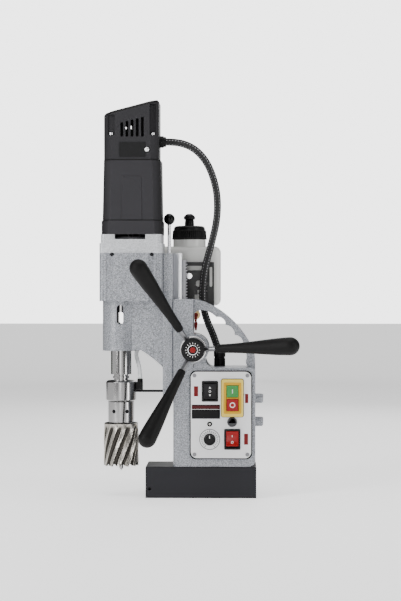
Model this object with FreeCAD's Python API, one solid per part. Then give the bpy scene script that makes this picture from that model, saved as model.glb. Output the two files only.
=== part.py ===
"""Portable magnetic-base drill press, 55 mm annular cutter class.

Row frame, millimetres: the origin is the centre of the magnet's underside, +Z is up, X runs along the
magnet with the spindle towards -X, and the control panel faces -Y.
"""
import FreeCAD
import Part
import math
import os

Vec = FreeCAD.Vector
os.makedirs("parts", exist_ok=True)

# ---- driving dimensions ----
MAG_L, MAG_W, MAG_H = 170.0, 84.0, 48.0           # electromagnet block
MAG_SCREW_X, MAG_SCREW_Z, MAG_SCREW_R, MAG_SCREW_DEPTH = -78.6, 14.2, 2.5, 12.0
COIL_OUT, COIL_IN, GROOVE_TOP = (62.0, 29.0), (40.0, 13.0), 30.0  # half lengths and widths of the coil
STAND_X0, STAND_X1, STAND_Y = -42.5, 83.6, 40.0   # stand casting, control box part
BOX_CORNER_R, BOX_TOP_R, COLUMN_BEVEL = 11.0, 6.0, 3.0
BOX_TOP, COLUMN_TOP, COLUMN_X1 = 200.0, 305.0, -12.0
FEED_X, FEED_Z = -11.0, 229.0                     # feed shaft axis, along Y
BOSS_R, BOSS_Y0 = 23.0, -50.0
SHAFT_R, BUSH_R, PINION_POCKET_R = 9.0, 12.0, 15.0
BUSHES = ((-50.0, 34.0), (13.0, 23.0))            # near end and length of each feed bush
FLANGE_R, FLANGE_T = 20.0, 9.0
POST_Y, POST_Z, POST_R, POST_L = -6.0, (151.3, 115.3), 7.5, 13.4  # posts that the mains cord winds on
BASE_SCREW_R, SMALL_SCREW_R, PANEL_SCREW_R = 4.0, 2.5, 1.5
HANDLE_Y = 13.0                                   # half width of the carrying handle
PANEL_X, PANEL_Z, PANEL_W, PANEL_H, PANEL_R = 30.8, 127.7, 93.0, 133.0, 10.5
GASKET_T, PANEL_T = 0.8, 2.0
SLIDE_X0, SLIDE_X1, SLIDE_Y = -58.8, -42.9, 33.0  # slide part of the carriage casting
SLIDE_Z0, SLIDE_Z1 = 157.0, 375.5
TAIL_X1, TAIL_NECK, TAIL_TIP = -30.0, 19.0, 26.5  # dovetail: tip plane, half widths at neck and tip
GIB_T = 4.0
RACK_X1, RACK_Y, RACK_MODULE, PINION_TEETH = -25.4, 6.0, 1.5, 16
SPINDLE_X, MOTOR_X = -125.0, -107.0
HEAD_X0, HEAD_X1, HEAD_Y, HEAD_Z0, HEAD_Z1 = -155.6, -58.4, 45.0, 302.0, 375.7
HEAD_WALL, HEAD_FLOOR = 4.5, 16.0
QUILL_R, QUILL_BORE, QUILL_Z0 = 28.5, 22.0, 225.0 # spindle housing
COVER_STEP_Z, COVER_TOP = 391.0, 404.6
PLATE_Z0, PLATE_Z1 = 386.0, 396.0                 # bearing plate inside the cover
MOTOR_BAND_TOP, MOTOR_TOP, CAP_LEFT, CAP_RIGHT = 425.8, 519.0, 590.0, 612.0
MOTOR_CX, MOTOR_HALF, MOTOR_Y, MOTOR_CHAMFER, MOTOR_WALL = -106.0, 46.7, 46.0, 12.0, 3.5
CAP_CX, CAP_HALF, CAP_Y = -107.0, 42.2, 42.0
LAY_X, LAY_Y = -109.6, 21.44                      # layshaft axis
STAGE1_MODULE, STAGE2_MODULE, SMALL_TEETH, LARGE_TEETH = 0.9, 1.1, 12, 36
RING_Z0, RING_Z1, RING_R = 146.7, 178.4, 23.5     # stationary coolant ring
CUTTER_R, CUTTER_Z0, CUTTER_Z1 = 27.3, 45.7, 112.7
PIN_R, PIN_Z0 = 3.15, 38.0
LOCK_X, BALL_Z, BALL_R = -50.0, 429.2, 8.75
HUB_R, HUB_Y0, HUB_Y1 = 18.0, -95.0, -62.0
ARM_ANGLES, ARM_TILT, ARM_ROOT_Y = (2.9, 122.9, 242.9), 23.0, -72.5
TANK = (-71.0, 29.0, 50.0, 112.0, 294.0, 388.0)   # x, y, z limits of the coolant tank
TANK_WALL, NECK_X, NECK_Y, NECK_R = 2.5, -21.0, 81.0, 26.0
VALVE_X, VALVE_Y, VALVE_Z = -10.0, 62.0, 279.0
GLAND_X, GLAND_Y = 28.0, 25.0                     # conduit gland on the control box
CONDUIT_D, HOSE_D = 11.5, 6.5
CONDUIT_Z = 549.0
CORD_BEND = 0.45                                  # share of the shorter run that each arc takes up
GAP = 0.3                                         # between curved faces of different bodies
FIT = 0.05                                        # running fits and joints inside one body


# ---- helpers ----
def box(x0, x1, y0, y1, z0, z1):
    return Part.makeBox(x1 - x0, y1 - y0, z1 - z0, Vec(x0, y0, z0))


AXES = {"x": Vec(1, 0, 0), "y": Vec(0, 1, 0), "z": Vec(0, 0, 1)}


def cyl(x, y, z, axis, r, length):
    return Part.makeCylinder(r, length, Vec(x, y, z), AXES[axis])


def tube(x, y, z, axis, r_in, r_out, length):
    return cyl(x, y, z, axis, r_out, length).cut(cyl(x, y, z, axis, r_in, length))


def fuse(shapes):
    result = shapes[0].multiFuse(shapes[1:]) if len(shapes) > 1 else shapes[0]
    return result.removeSplitter()


def rounded(x0, x1, y0, y1, z0, z1, r, axis="y"):
    """Box whose four edges along one axis are rounded."""
    solid = box(x0, x1, y0, y1, z0, z1)
    edges = [e for e in solid.Edges if abs(e.tangentAt(e.FirstParameter).dot(AXES[axis])) > 0.9]
    return solid.makeFillet(r, edges)


def outline(start, steps, place):
    """Closed face from a start point and steps: (end,) is a line, (through, end) is an arc."""
    edges, here = [], place(start)
    for step in list(steps) + [(start,)]:
        end = place(step[-1])
        if end.distanceToPoint(here) < 1e-6:
            continue
        if len(step) == 1:
            edges.append(Part.makeLine(here, end))
        else:
            edges.append(Part.Arc(here, place(step[0]), end).toShape())
        here = end
    return Part.Face(Part.Wire(edges))


def slab_y(start, steps, y0, y1):
    face = outline(start, steps, lambda p: Vec(p[0], y0, p[1]))
    return face.extrude(Vec(0, y1 - y0, 0))


def slab_z(points, z0, z1):
    face = outline(points[0], [(p,) for p in points[1:]], lambda p: Vec(p[0], p[1], z0))
    return face.extrude(Vec(0, 0, z1 - z0))


def turned(x, y, profile):
    """Solid of revolution about the vertical through (x, y), from (radius, height) points."""
    face = outline(profile[0], [(p,) for p in profile[1:]], lambda p: Vec(x + p[0], y, p[1]))
    return face.revolve(Vec(x, y, 0), Vec(0, 0, 1), 360)


def chamfered(cx, half_x, half_y, corner):
    """Corner points of a rectangle about (cx, 0) with its corners cut off."""
    a, b = half_x - corner, half_y - corner
    return [(cx + x, y) for x, y in ((a, -half_y), (half_x, -b), (half_x, b), (a, half_y),
                                     (-a, half_y), (-half_x, b), (-half_x, -b), (-a, -half_y))]


def loft_z(points0, z0, points1, z1):
    wires = [Part.makePolygon([Vec(x, y, z) for x, y in pts + pts[:1]])
             for pts, z in ((points0, z0), (points1, z1))]
    return Part.makeLoft(wires, True, True)


def gear_outline(teeth, module, backlash=0.3, addendum=0.8, dedendum=1.25):
    """Involute spur gear outline about the origin, with a tooth centred on the first axis."""
    pressure = math.radians(20)
    pitch_r = teeth * module / 2
    base_r = pitch_r * math.cos(pressure)
    tip_r, root_r = pitch_r + addendum * module, pitch_r - dedendum * module
    half = math.pi / (2 * teeth) - backlash / (2 * pitch_r)

    def involute(a):
        return math.tan(a) - a

    def width(r):
        return half + involute(pressure) - involute(math.acos(min(1.0, base_r / r)))

    low = max(base_r, root_r)
    flank = [(root_r, 0.85 * width(low))]
    flank += [(low + (tip_r - low) * k / 4, width(low + (tip_r - low) * k / 4)) for k in range(5)]
    points = []
    for tooth in range(teeth):
        centre = 2 * math.pi * tooth / teeth
        for r, a in [(r, -a) for r, a in flank] + [(r, a) for r, a in reversed(flank)]:
            points.append((r * math.cos(centre + a), r * math.sin(centre + a)))
    return points


def gear(x, y, z, teeth, module, width, phase):
    """Spur gear with a vertical axis; phase is the direction of one tooth, in degrees."""
    solid = slab_z(gear_outline(teeth, module), 0, width)
    solid.rotate(Vec(0, 0, 0), Vec(0, 0, 1), phase)
    solid.translate(Vec(x, y, z))
    return solid


def socket_screw(x, y, z, axis, r, length, head_r, head_h, key_r):
    """Socket screw whose head's underside is at the point; axis points from the shank to the head."""
    out = {"x": Vec(1, 0, 0), "y": Vec(0, 1, 0), "z": Vec(0, 0, 1),
           "-y": Vec(0, -1, 0), "-x": Vec(-1, 0, 0)}[axis]
    at = Vec(x, y, z)
    head = Part.makeCylinder(head_r, head_h, at, out)
    shank = Part.makeCylinder(r, length, at - out * length, out)
    key = Part.makeCylinder(key_r, head_h * 0.6, at + out * (head_h * 0.4), out)
    return head.cut(key).fuse(shank).removeSplitter()


def cord_tube(name, points, diameter):
    """Round tube of straight runs and tangent arcs along a route."""
    route = [Vec(*p) for p in points]
    edges, here, length, radii = [], route[0], 0.0, []
    for before, corner, after in zip(route, route[1:], route[2:]):
        u, v = corner - before, after - corner
        run = min(u.Length, v.Length)
        turn = u.getAngle(v)
        radius = CORD_BEND * run / math.tan(turn / 2)
        u.normalize()
        v.normalize()
        inner = (v - u).normalize()
        start, end = corner - u * (CORD_BEND * run), corner + v * (CORD_BEND * run)
        middle = corner + inner * (radius / math.cos(turn / 2) - radius)
        edges.append(Part.makeLine(here, start))
        edges.append(Part.Arc(start, middle, end).toShape())
        length += here.distanceToPoint(start) + radius * turn
        radii.append(radius)
        here = end
    edges.append(Part.makeLine(here, route[-1]))
    length += here.distanceToPoint(route[-1])
    spine = Part.Wire(edges)
    along = (route[1] - route[0]).normalize()
    profile = Part.Wire(Part.makeCircle(diameter / 2, route[0], along))
    solid = spine.makePipeShell([profile], True, False)
    exact = math.pi * diameter ** 2 / 4 * length
    print(name, "length %.1f" % length, "volume ratio %.4f" % (solid.Volume / exact),
          "radii", [round(r) for r in radii])
    return solid


def write(name, shape):
    solids = shape.Solids
    valid = shape.isValid() and len(solids) > 0 and all(s.isClosed() for s in solids)
    print("%-18s solids %2d volume %10.1f %s" % (name, len(solids), shape.Volume, "" if valid else "INVALID"))
    group = solids[0] if len(solids) == 1 else Part.makeCompound(solids)
    group.exportStep("parts/%s.step" % name)


# ---- magnet ----
SCREW_SPOTS = [(x, y) for x in (6.0, 54.0) for y in (-22.0, 22.0)]


def ring_slot(z0, z1, grow=0.0):
    """Ring-shaped groove for the coil, or the coil itself when grow is negative."""
    (ox, oy), (ix, iy) = COIL_OUT, COIL_IN
    outer = rounded(-ox - grow, ox + grow, -oy - grow, oy + grow, z0, z1, 8, "z")
    inner = rounded(-ix + grow, ix - grow, -iy + grow, iy - grow, z0 - 1, z1 + 1, 6, "z")
    return outer.cut(inner)


def magnet_parts():
    block = box(-MAG_L / 2, MAG_L / 2, -MAG_W / 2, MAG_W / 2, 0, MAG_H)
    edges = [e for e in block.Edges if e.BoundBox.ZMin > MAG_H / 2]
    block = block.makeChamfer(1.0, edges)
    block = block.cut(ring_slot(-1, GROOVE_TOP))
    block = block.cut(cyl(MAG_SCREW_X, -MAG_W / 2 - 1, MAG_SCREW_Z, "y", MAG_SCREW_R, MAG_SCREW_DEPTH + 1))
    for x, y in SCREW_SPOTS:
        block = block.cut(cyl(x, y, 33, "z", BASE_SCREW_R + FIT, MAG_H))
    write("magnet_housing", block)
    write("magnet_coil", ring_slot(0.5, GROOVE_TOP, -0.1))


# ---- stand ----
TAIL_GAP = 0.2


def tail_section(grow, gib=0.0):
    """Dovetail cross-section as (x, y) points; gib widens its +Y side."""
    x0, x1 = SLIDE_X1 - 1.0, TAIL_X1 + grow
    slope = (TAIL_TIP - TAIL_NECK) / (TAIL_X1 - SLIDE_X1)
    neck = TAIL_NECK - slope + grow
    tip = TAIL_TIP + slope * grow + grow
    return [(x0, -neck), (x1, -tip), (x1, tip + gib), (x0, neck + gib)]


def handle_slab(y):
    """Carrying handle: round outer edge, three finger scallops inside, foot on the control box."""
    return slab_y((-20, 301.5), [((5, 301.0),), ((46.2, 274.5), (75.3, 236.8)),
                                 ((81.5, 222.0), (83.6, 206.0)),
                                 ((83.6, 190.0),), ((71.5, 190.0),), ((71.5, 201.5),),
                                 ((69.4, 205.0), (70.5, 213.0)), ((68.5, 226.0), (64.8, 237.0)),
                                 ((61.0, 245.5), (51.8, 249.5)), ((47.6, 260.5), (37.5, 265.0)),
                                 ((33.2, 275.0), (23.5, 277.0)), ((10.0, 286.0), (-6.0, 288.5)),
                                 ((-20, 288.5),)], -y, y)


def stand_casting():
    body = box(STAND_X0, STAND_X1, -STAND_Y, STAND_Y, MAG_H, BOX_TOP)
    corner = [e for e in body.Edges if abs(e.BoundBox.XMin - STAND_X1) < 1e-3
              and e.BoundBox.YLength > 70 and e.BoundBox.ZMin < BOX_TOP / 2]
    body = body.makeFillet(BOX_CORNER_R, corner)
    top = [e for e in body.Edges if abs(e.BoundBox.XMin - STAND_X1) < 1e-3
           and e.BoundBox.YLength > 70 and e.BoundBox.ZMin > BOX_TOP - 1]
    body = body.makeFillet(BOX_TOP_R, top)
    column = box(STAND_X0, COLUMN_X1, -STAND_Y, STAND_Y, BOX_TOP - 1, COLUMN_TOP)
    boss = cyl(FEED_X, BOSS_Y0, FEED_Z, "y", BOSS_R, STAND_Y - BOSS_Y0)
    foot = slab_y((FEED_X, BOX_TOP - 1),
                  [((20.0, BOX_TOP - 1),), ((20.0, BOX_TOP),),
                   ((11.5, 203.0), (7.5, 211.0)), ((FEED_X, 220.0),)],
                  -STAND_Y, STAND_Y)
    neck = slab_y((COLUMN_X1 - 1, COLUMN_TOP), [((-4.0, 303.8),), ((5.0, 301.0),), ((5.0, 287.2),),
                                                ((-6.0, 286.5), (COLUMN_X1 - 1, 279.0))], -HANDLE_Y, HANDLE_Y)
    posts = []
    for z in POST_Z:
        post = cyl(STAND_X1 - 1, POST_Y, z, "x", POST_R, POST_L)
        rim = [e for e in post.Edges if e.BoundBox.XMin > STAND_X1 + 5]
        posts.append(post.makeFillet(3.0, rim))
    lug = cyl(-3.0, -STAND_Y - 1.5, 203.5, "y", 4.6, 10)
    body = fuse([body, column, boss, foot, neck, handle_slab(HANDLE_Y), lug] + posts)
    for side in (-1, 1):
        far = side * (STAND_Y + 1)
        wedge = slab_z([(STAND_X0 - 1, side * (STAND_Y - COLUMN_BEVEL - 1)), (STAND_X0 - 1, far),
                        (STAND_X0 + COLUMN_BEVEL + 1, far)], MAG_H - 1, COLUMN_TOP + 1)
        body = body.cut(wedge)
    # slot for the dovetail and gib, channel for the rack, pocket and bore of the feed pinion
    body = body.cut(slab_z(tail_section(TAIL_GAP, GIB_T), MAG_H - 1, COLUMN_TOP + 1))
    body = body.cut(box(TAIL_X1 - 1, -19.5, -9, 9, MAG_H - 1, COLUMN_TOP + 1))
    body = body.cut(cyl(FEED_X, -12, FEED_Z, "y", PINION_POCKET_R, 24))
    body = body.cut(cyl(FEED_X, BOSS_Y0 - 1, FEED_Z, "y", BUSH_R + FIT, 37 - BOSS_Y0 + 1))
    # hollow behind the control panel
    body = body.cut(rounded(-9, 71, -STAND_Y - 1, 30, 64, 189, 8))
    for x, y in SCREW_SPOTS:
        body = body.cut(cyl(x, y, MAG_H - 1, "z", BASE_SCREW_R + FIT, 20))
    body = body.cut(cyl(GLAND_X, GLAND_Y - 8, BOX_TOP - 20, "z", 4.0, 30))
    for x, z in PANEL_SCREWS:
        body = body.cut(cyl(x, -STAND_Y - 1, z, "y", PANEL_SCREW_R + FIT, 11))
    for z in GIB_SCREW_Z:
        body = body.cut(cyl(GIB_SCREW_X, 20, z, "y", SMALL_SCREW_R + FIT, 30))
    for x, z in BRACKET_SCREWS:
        body = body.cut(cyl(x, STAND_Y - 10, z, "y", SMALL_SCREW_R + FIT, 12))
    body = body.cut(cyl(MAINS_X, 28, MAINS_Z, "y", 6.0 + FIT, 14))
    return body


PANEL_SCREWS = [(PANEL_X + sx * 40.5, PANEL_Z + sz * 60.5) for sx in (-1, 1) for sz in (-1, 1)]
GIB_SCREW_X, GIB_SCREW_Z = -35.0, (110.0, 185.0, 280.0)
BRACKET_SCREWS = [(-20.0, 257.0), (-20.0, 277.0)]
TANK_SCREW = (-20.0, 341.0)
MAINS_X, MAINS_Z = 56.0, 84.0


def stand_parts():
    write("stand_casting", stand_casting())
    small = SMALL_SCREW_R
    screws = [socket_screw(x, y, 64, "z", BASE_SCREW_R, 28, 6.5, 8, 3.0) for x, y in SCREW_SPOTS]
    screws += [socket_screw(GIB_SCREW_X, STAND_Y + 0.5, z, "y", small, 9.5, 4.2, 4, 1.8) for z in GIB_SCREW_Z]
    screws += [socket_screw(x, STAND_Y + 3, z, "y", small, 11, 4.4, 4, 2.0) for x, z in BRACKET_SCREWS]
    screws.append(socket_screw(TANK_SCREW[0], STAND_Y, TANK_SCREW[1], "-y", small, 3.0, 4.4, 3.5, 2.0))
    write("stand_screws", Part.makeCompound(screws))
    slot = tail_section(TAIL_GAP, GIB_T)
    (xa, ya), (xb, yb) = slot[3], slot[2]
    xa, ya = xa + 1.6, ya + (yb - ya) * 1.6 / (xb - xa)
    gib = slab_z([(xa, ya - 0.05), (xb - 0.1, yb - 0.1), (xb - 0.1, yb - GIB_T + 0.05),
                  (xa, ya - GIB_T + 0.05)], 54, 303)
    write("gib_strip", gib)
    bushes = [tube(FEED_X, y, FEED_Z, "y", SHAFT_R + FIT, BUSH_R, length) for y, length in BUSHES]
    write("feed_bushes", Part.makeCompound(bushes))
    flange = tube(FEED_X, BOSS_Y0 - FLANGE_T, FEED_Z, "y", SHAFT_R + FIT, FLANGE_R, FLANGE_T)
    flange = flange.cut(tube(FEED_X, BOSS_Y0 - 5, FEED_Z, "y", FLANGE_R - 2, FLANGE_R + 1, 2))
    write("bearing_flange", flange)


# ---- control panel ----
FACE_Y = -STAND_Y - GASKET_T - PANEL_T            # outer face of the panel plate
ROCKERS = {"feed": (14.0, 164.1), "magnet": (48.2, 90.6)}
ROCKER_W, ROCKER_H, ROCKER_AXIS_Y = 27.0, 31.6, -40.0
START_BOX = (48.3, 153.8, 33.2, 57.3)
BUTTONS = {"start": (48.5, 164.2), "stop": (48.5, 143.4)}
BUTTON_W, BUTTON_TRAVEL = 18.2, 2.5
FUSE = (48.0, 117.0)
LAMP = (13.6, 113.8)
DIAL = (13.6, 90.3)


def plate_xz(cx, cz, w, h, r, y0, y1):
    return rounded(cx - w / 2, cx + w / 2, y0, y1, cz - h / 2, cz + h / 2, r)


def rocker_body(cx, cz, tilt):
    y0 = FACE_Y - 7.0
    body = slab_y((cx - 9.5, cz - 11.5), [((cx + 9.5, cz - 11.5),), ((cx + 9.5, cz + 11.5),),
                                          ((cx - 9.5, cz + 11.5),)], y0, -38.5)
    dish = cyl(cx - 12, y0 - 38.0, cz, "x", 40.0, 24)
    body = body.cut(dish)
    body.rotate(Vec(cx, ROCKER_AXIS_Y, cz), Vec(1, 0, 0), tilt)
    return body


def panel_parts():
    gasket = plate_xz(PANEL_X, PANEL_Z, PANEL_W + 2, PANEL_H + 2, PANEL_R + 1, -STAND_Y - GASKET_T, -STAND_Y)
    gasket = gasket.cut(plate_xz(PANEL_X, PANEL_Z, 76, 121, 6, -STAND_Y - 2, -STAND_Y + 2))
    plate = plate_xz(PANEL_X, PANEL_Z, PANEL_W, PANEL_H, PANEL_R, FACE_Y, FACE_Y + PANEL_T)
    cuts = [plate_xz(cx, cz, 22.4, 27.4, 1.0, -60, 0) for cx, cz in ROCKERS.values()]
    cuts.append(plate_xz(START_BOX[0], START_BOX[1], 26.4, 48.4, 1.0, -60, 0))
    cuts += [cyl(FUSE[0], -60, FUSE[1], "y", 6.1, 60), cyl(LAMP[0], -60, LAMP[1], "y", 3.1, 60),
             cyl(DIAL[0], -60, DIAL[1], "y", 4.1, 60)]
    for x, z in PANEL_SCREWS:
        gasket = gasket.cut(cyl(x, -60, z, "y", PANEL_SCREW_R + FIT, 60))
        cuts.append(cyl(x, -60, z, "y", PANEL_SCREW_R + FIT, 60))
    for cut in cuts:
        plate = plate.cut(cut)
    write("panel_gasket", gasket)
    write("control_panel", plate)
    screws = [socket_screw(x, FACE_Y, z, "-y", PANEL_SCREW_R, 10, 3.0, 1.8, 1.2) for x, z in PANEL_SCREWS]
    write("panel_screws", Part.makeCompound(screws))

    frames = []
    for cx, cz in ROCKERS.values():
        flange = plate_xz(cx, cz, ROCKER_W - 2, ROCKER_H, 1.5, FACE_Y - 3, FACE_Y)
        shell = plate_xz(cx, cz, 22.2, 27.2, 0.9, FACE_Y, -14)
        pocket = box(cx - 9.9, cx + 9.9, -60, -34, cz - 13.2, cz + 13.2)
        pins = [cyl(cx + side * 6.5 - 1.5, -14, cz, "y", 1.0, 8) for side in (-1, 1)]
        frames.append(fuse([flange, shell]).cut(pocket).fuse(pins).removeSplitter())
    write("rocker_frames", Part.makeCompound(frames))

    cx, cz, w, h = START_BOX
    flange = plate_xz(cx, cz, w, h, 2.5, FACE_Y - 5, FACE_Y)
    shell = plate_xz(cx, cz, 26.2, 48.2, 0.9, FACE_Y, -12)
    start_box = fuse([flange, shell])
    for bx, bz in BUTTONS.values():
        half = BUTTON_W / 2 + 0.4
        start_box = start_box.cut(box(bx - half, bx + half, -60, -36, bz - half, bz + half))
    write("start_stop_box", start_box)
    for name, (bx, bz) in BUTTONS.items():
        half = BUTTON_W / 2
        reach = FACE_Y - (6.5 if name == "start" else 8.5)
        write(name + "_button", rounded(bx - half, bx + half, reach, -36 - BUTTON_TRAVEL - 0.2,
                                        bz - half, bz + half, 1.0))
    write("feed_rocker", rocker_body(*ROCKERS["feed"], 0.0))
    write("magnet_rocker", rocker_body(*ROCKERS["magnet"], -8.0))

    fx, fz = FUSE
    holder = tube(fx, FACE_Y, fz, "y", 4.0, 6.0, 30).fuse(cyl(fx, FACE_Y + 28, fz, "y", 6.0, 4))
    holder = holder.fuse(tube(fx, FACE_Y - 1.5, fz, "y", 4.0, 7.6, 1.5)).removeSplitter()
    write("fuse_holder", holder)
    cap = cyl(fx, FACE_Y - 9.0, fz, "y", 7.0, 7.3).fuse(cyl(fx, FACE_Y - 3, fz, "y", 3.6, 8))
    cap = cap.cut(box(fx - 5, fx + 5, FACE_Y - 10, FACE_Y - 7.6, fz - 0.7, fz + 0.7)).removeSplitter()
    write("fuse_cap", cap)
    lens = cyl(LAMP[0], FACE_Y - 2.0, LAMP[1], "y", 3.8, 2.0)
    lamp = lens.fuse(cyl(LAMP[0], FACE_Y, LAMP[1], "y", 3.0, 14))
    write("indicator_lamp", lamp.removeSplitter())
    dx, dz = DIAL
    pot = cyl(dx, FACE_Y + PANEL_T + 1, dz, "y", 10.0, 12)
    pot = pot.fuse(cyl(dx, FACE_Y - 1.5, dz, "y", 4.0, 8)).removeSplitter()
    pot = pot.cut(cyl(dx, FACE_Y - 5, dz, "y", 2.0 + FIT, 15))
    write("potentiometer", pot)
    knob = cyl(dx, FACE_Y - 15, dz, "y", 9.1, 13).fuse(cyl(dx, FACE_Y - 4, dz, "y", 2.0, 11)).removeSplitter()
    knob = knob.cut(tube(dx, FACE_Y - 16, dz, "y", 7.6, 9.5, 9))
    write("speed_knob", knob)
    board = box(-4, 66, 18, 19.6, 72, 182)
    posts = [cyl(x, 19.6, z, "y", 2.5, 10.4) for x in (0, 62) for z in (78, 176)]
    blocks = [box(6, 30, 6, 18, 80, 100), cyl(50, 2, 95, "y", 8, 16), box(14, 40, 8, 18, 130, 158)]
    write("circuit_board", fuse([board] + posts + blocks))


# ---- glands and cords ----
def hexagon(x, y, z0, z1, across):
    r = across / math.sqrt(3)
    return slab_z([(x + r * math.cos(math.radians(60 * k + 30)), y + r * math.sin(math.radians(60 * k + 30)))
                   for k in range(6)], z0, z1)


CONDUIT_ROUTE = [(-55, 0, CONDUIT_Z), (-37, 0, CONDUIT_Z), (-14.5, 2, 541.5), (3, 5, 526), (15.8, 9, 503),
                 (24.8, 13, 469), (24.6, 17, 431), (15.4, 20, 391.5), (4.8, 22, 354), (1, 24, 320),
                 (2, 25, 291), (9.5, 25.4, 267), (19.5, 25.2, 245.5), (27.0, 25, 221)]
HOSE_ROUTE = [(-95.5, 0, 181.0), (-95.5, 0, 193), (-99, 6.5, 206), (-103, 18.5, 217.5), (-101.5, 33, 226),
              (-93.5, 45, 227.5), (-80, 52.5, 223), (-64.5, 55.5, 219.5), (-51, 58, 227),
              (-41, 60.5, 241), (-31.5, 62, 256.5), (-21.3, 62, 267.7)]


def gland_parts():
    x, y = GLAND_X, GLAND_Y
    lower = hexagon(x, y, BOX_TOP, 212, 17.5)
    groove = cyl(x, y, 211, "z", 8.0, 5)
    upper = cyl(x, y, 214.5, "z", 9.2, 9.0)
    dome = upper.makeFillet(1.5, [e for e in upper.Edges if e.BoundBox.ZMin > 222])
    gland = fuse([lower, groove, dome]).cut(cyl(x, y, BOX_TOP + 4, "z", CONDUIT_D / 2 + 0.1, 30))
    write("stand_gland", gland)
    out = CAP_CX + CAP_HALF
    nut = cyl(out, 0, CONDUIT_Z, "x", 9.2, 6)
    body = cyl(out + 6, 0, CONDUIT_Z, "x", 7.8, -55 - out - 6)
    write("motor_gland", fuse([nut, body]))
    mains = tube(MAINS_X, 30, MAINS_Z, "y", 4.0, 6.0, 12)
    mains = mains.fuse(tube(MAINS_X, STAND_Y, MAINS_Z, "y", 4.0, 9.0, 5))
    mains = mains.fuse(tube(MAINS_X, STAND_Y + 5, MAINS_Z, "y", 4.0, 7.4, 9)).removeSplitter()
    write("mains_gland", mains)
    write("power_conduit", cord_tube("power_conduit", CONDUIT_ROUTE, CONDUIT_D))
    write("coolant_hose", cord_tube("coolant_hose", HOSE_ROUTE, HOSE_D))


# ---- coolant tank ----
def tank_parts():
    x0, x1, y0, y1, z0, z1 = TANK
    shell = box(x0, x1, y0, y1, z0, z1)
    shell = shell.makeFillet(9.0, shell.Edges)
    t = TANK_WALL
    inner = box(x0 + t, x1 - t, y0 + t, y1 - t, z0 + t, z1 - t)
    inner = inner.makeFillet(7.0, inner.Edges)
    neck = cyl(NECK_X, NECK_Y, z1 - 3, "z", NECK_R, 14)
    tank = fuse([shell, neck]).cut(inner).cut(cyl(NECK_X, NECK_Y, z1 - 8, "z", NECK_R - 2.5, 30))
    tank = tank.cut(cyl(VALVE_X, VALVE_Y, z0 - 1, "z", 3.0, 8))
    write("coolant_tank", tank)

    top = z1 + 11
    skirt = cyl(NECK_X, NECK_Y, z1 + 11.2, "z", 28.0, 15)
    dome = cyl(NECK_X, NECK_Y, z1 + 26.2, "z", 25.0, 7)
    dome = dome.makeFillet(5.0, [e for e in dome.Edges if e.BoundBox.ZMin > z1 + 33])
    stem = cyl(NECK_X, NECK_Y, z1 + 33, "z", 7.5, 10)
    plug = cyl(NECK_X, NECK_Y, top - 5, "z", NECK_R - 3.0, 6)
    cap = fuse([skirt, dome, stem, plug]).cut(cyl(NECK_X, NECK_Y, top - 6, "z", 4.0, 60))
    write("tank_cap", cap)
    head = turned(NECK_X, NECK_Y, [(0, z1 + 43.3), (8.2, z1 + 43.3), (9.2, z1 + 45), (9.0, z1 + 49),
                                   (6.0, z1 + 52.5), (0, z1 + 52.5)])
    pipe = cyl(NECK_X, NECK_Y, z1 + 22, "z", 3.7, 22)
    write("tank_nozzle", fuse([head, pipe]))

    yb = STAND_Y
    tab = box(-30, -12, yb, yb + 3, 247, 316)
    plate = box(-28, 19, yb, yb + 3, 312, 363)
    slots = [(-24, 8, 350, 357), (-10, 8, 324, 334), (-8, 8, 314, 319), (12, 16, 324, 355)]
    for sx0, sx1, sz0, sz1 in slots:
        plate = plate.cut(rounded(sx0, sx1, yb - 1, yb + 4, sz0, sz1, min(sx1 - sx0, sz1 - sz0) * 0.4))
    shelf = [box(-30, -16, yb + 3, y0 + 30, 288.5, 292.5), box(4, 19, yb, y0 + 30, 288.5, 292.5),
             box(4, 19, yb, yb + 3, 288.5, 316)]
    hooks = [box(x, x + 7, yb + 3, y0, z, z + 4) for x in (-27.5, 9) for z in (317, 358.5)]
    bracket = fuse([tab, plate] + shelf + hooks)
    for x, z in BRACKET_SCREWS:
        bracket = bracket.cut(cyl(x, yb - 1, z, "y", SMALL_SCREW_R + FIT, 6))
    bracket = bracket.cut(cyl(TANK_SCREW[0], yb - 1, TANK_SCREW[1], "y", SMALL_SCREW_R + FIT, 6))
    write("tank_bracket", bracket)

    x, y, z = VALVE_X, VALVE_Y, VALVE_Z
    stem = fuse([cyl(x, y, z + 5, "z", 5.0, z0 - z - 5), cyl(x, y, z, "z", 2.9, z0 - z + 4)])
    outlet = Part.makeCylinder(3.6, 15.5, Vec(x, y, z), Vec(-1, 0, -1))
    valve = fuse([cyl(x, y - 7, z, "y", 7.0, 14), stem, outlet])
    write("coolant_valve", valve)
    lever = fuse([cyl(x, y - 11.2, z, "y", 3.6, 4.0), cyl(x, y - 9.2, z - 12, "z", 1.9, 12)])
    tip = Part.makeCone(3.4, 1.2, 13, Vec(x, y - 9.2, z - 11.5), Vec(0, 0, -1))
    write("valve_lever", fuse([lever, tip]))


# ---- carriage ----
def head_block(z0, z1, x0, x1, y, r):
    return rounded(x0, x1, -y, y, z0, z1, r, "z")


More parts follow.
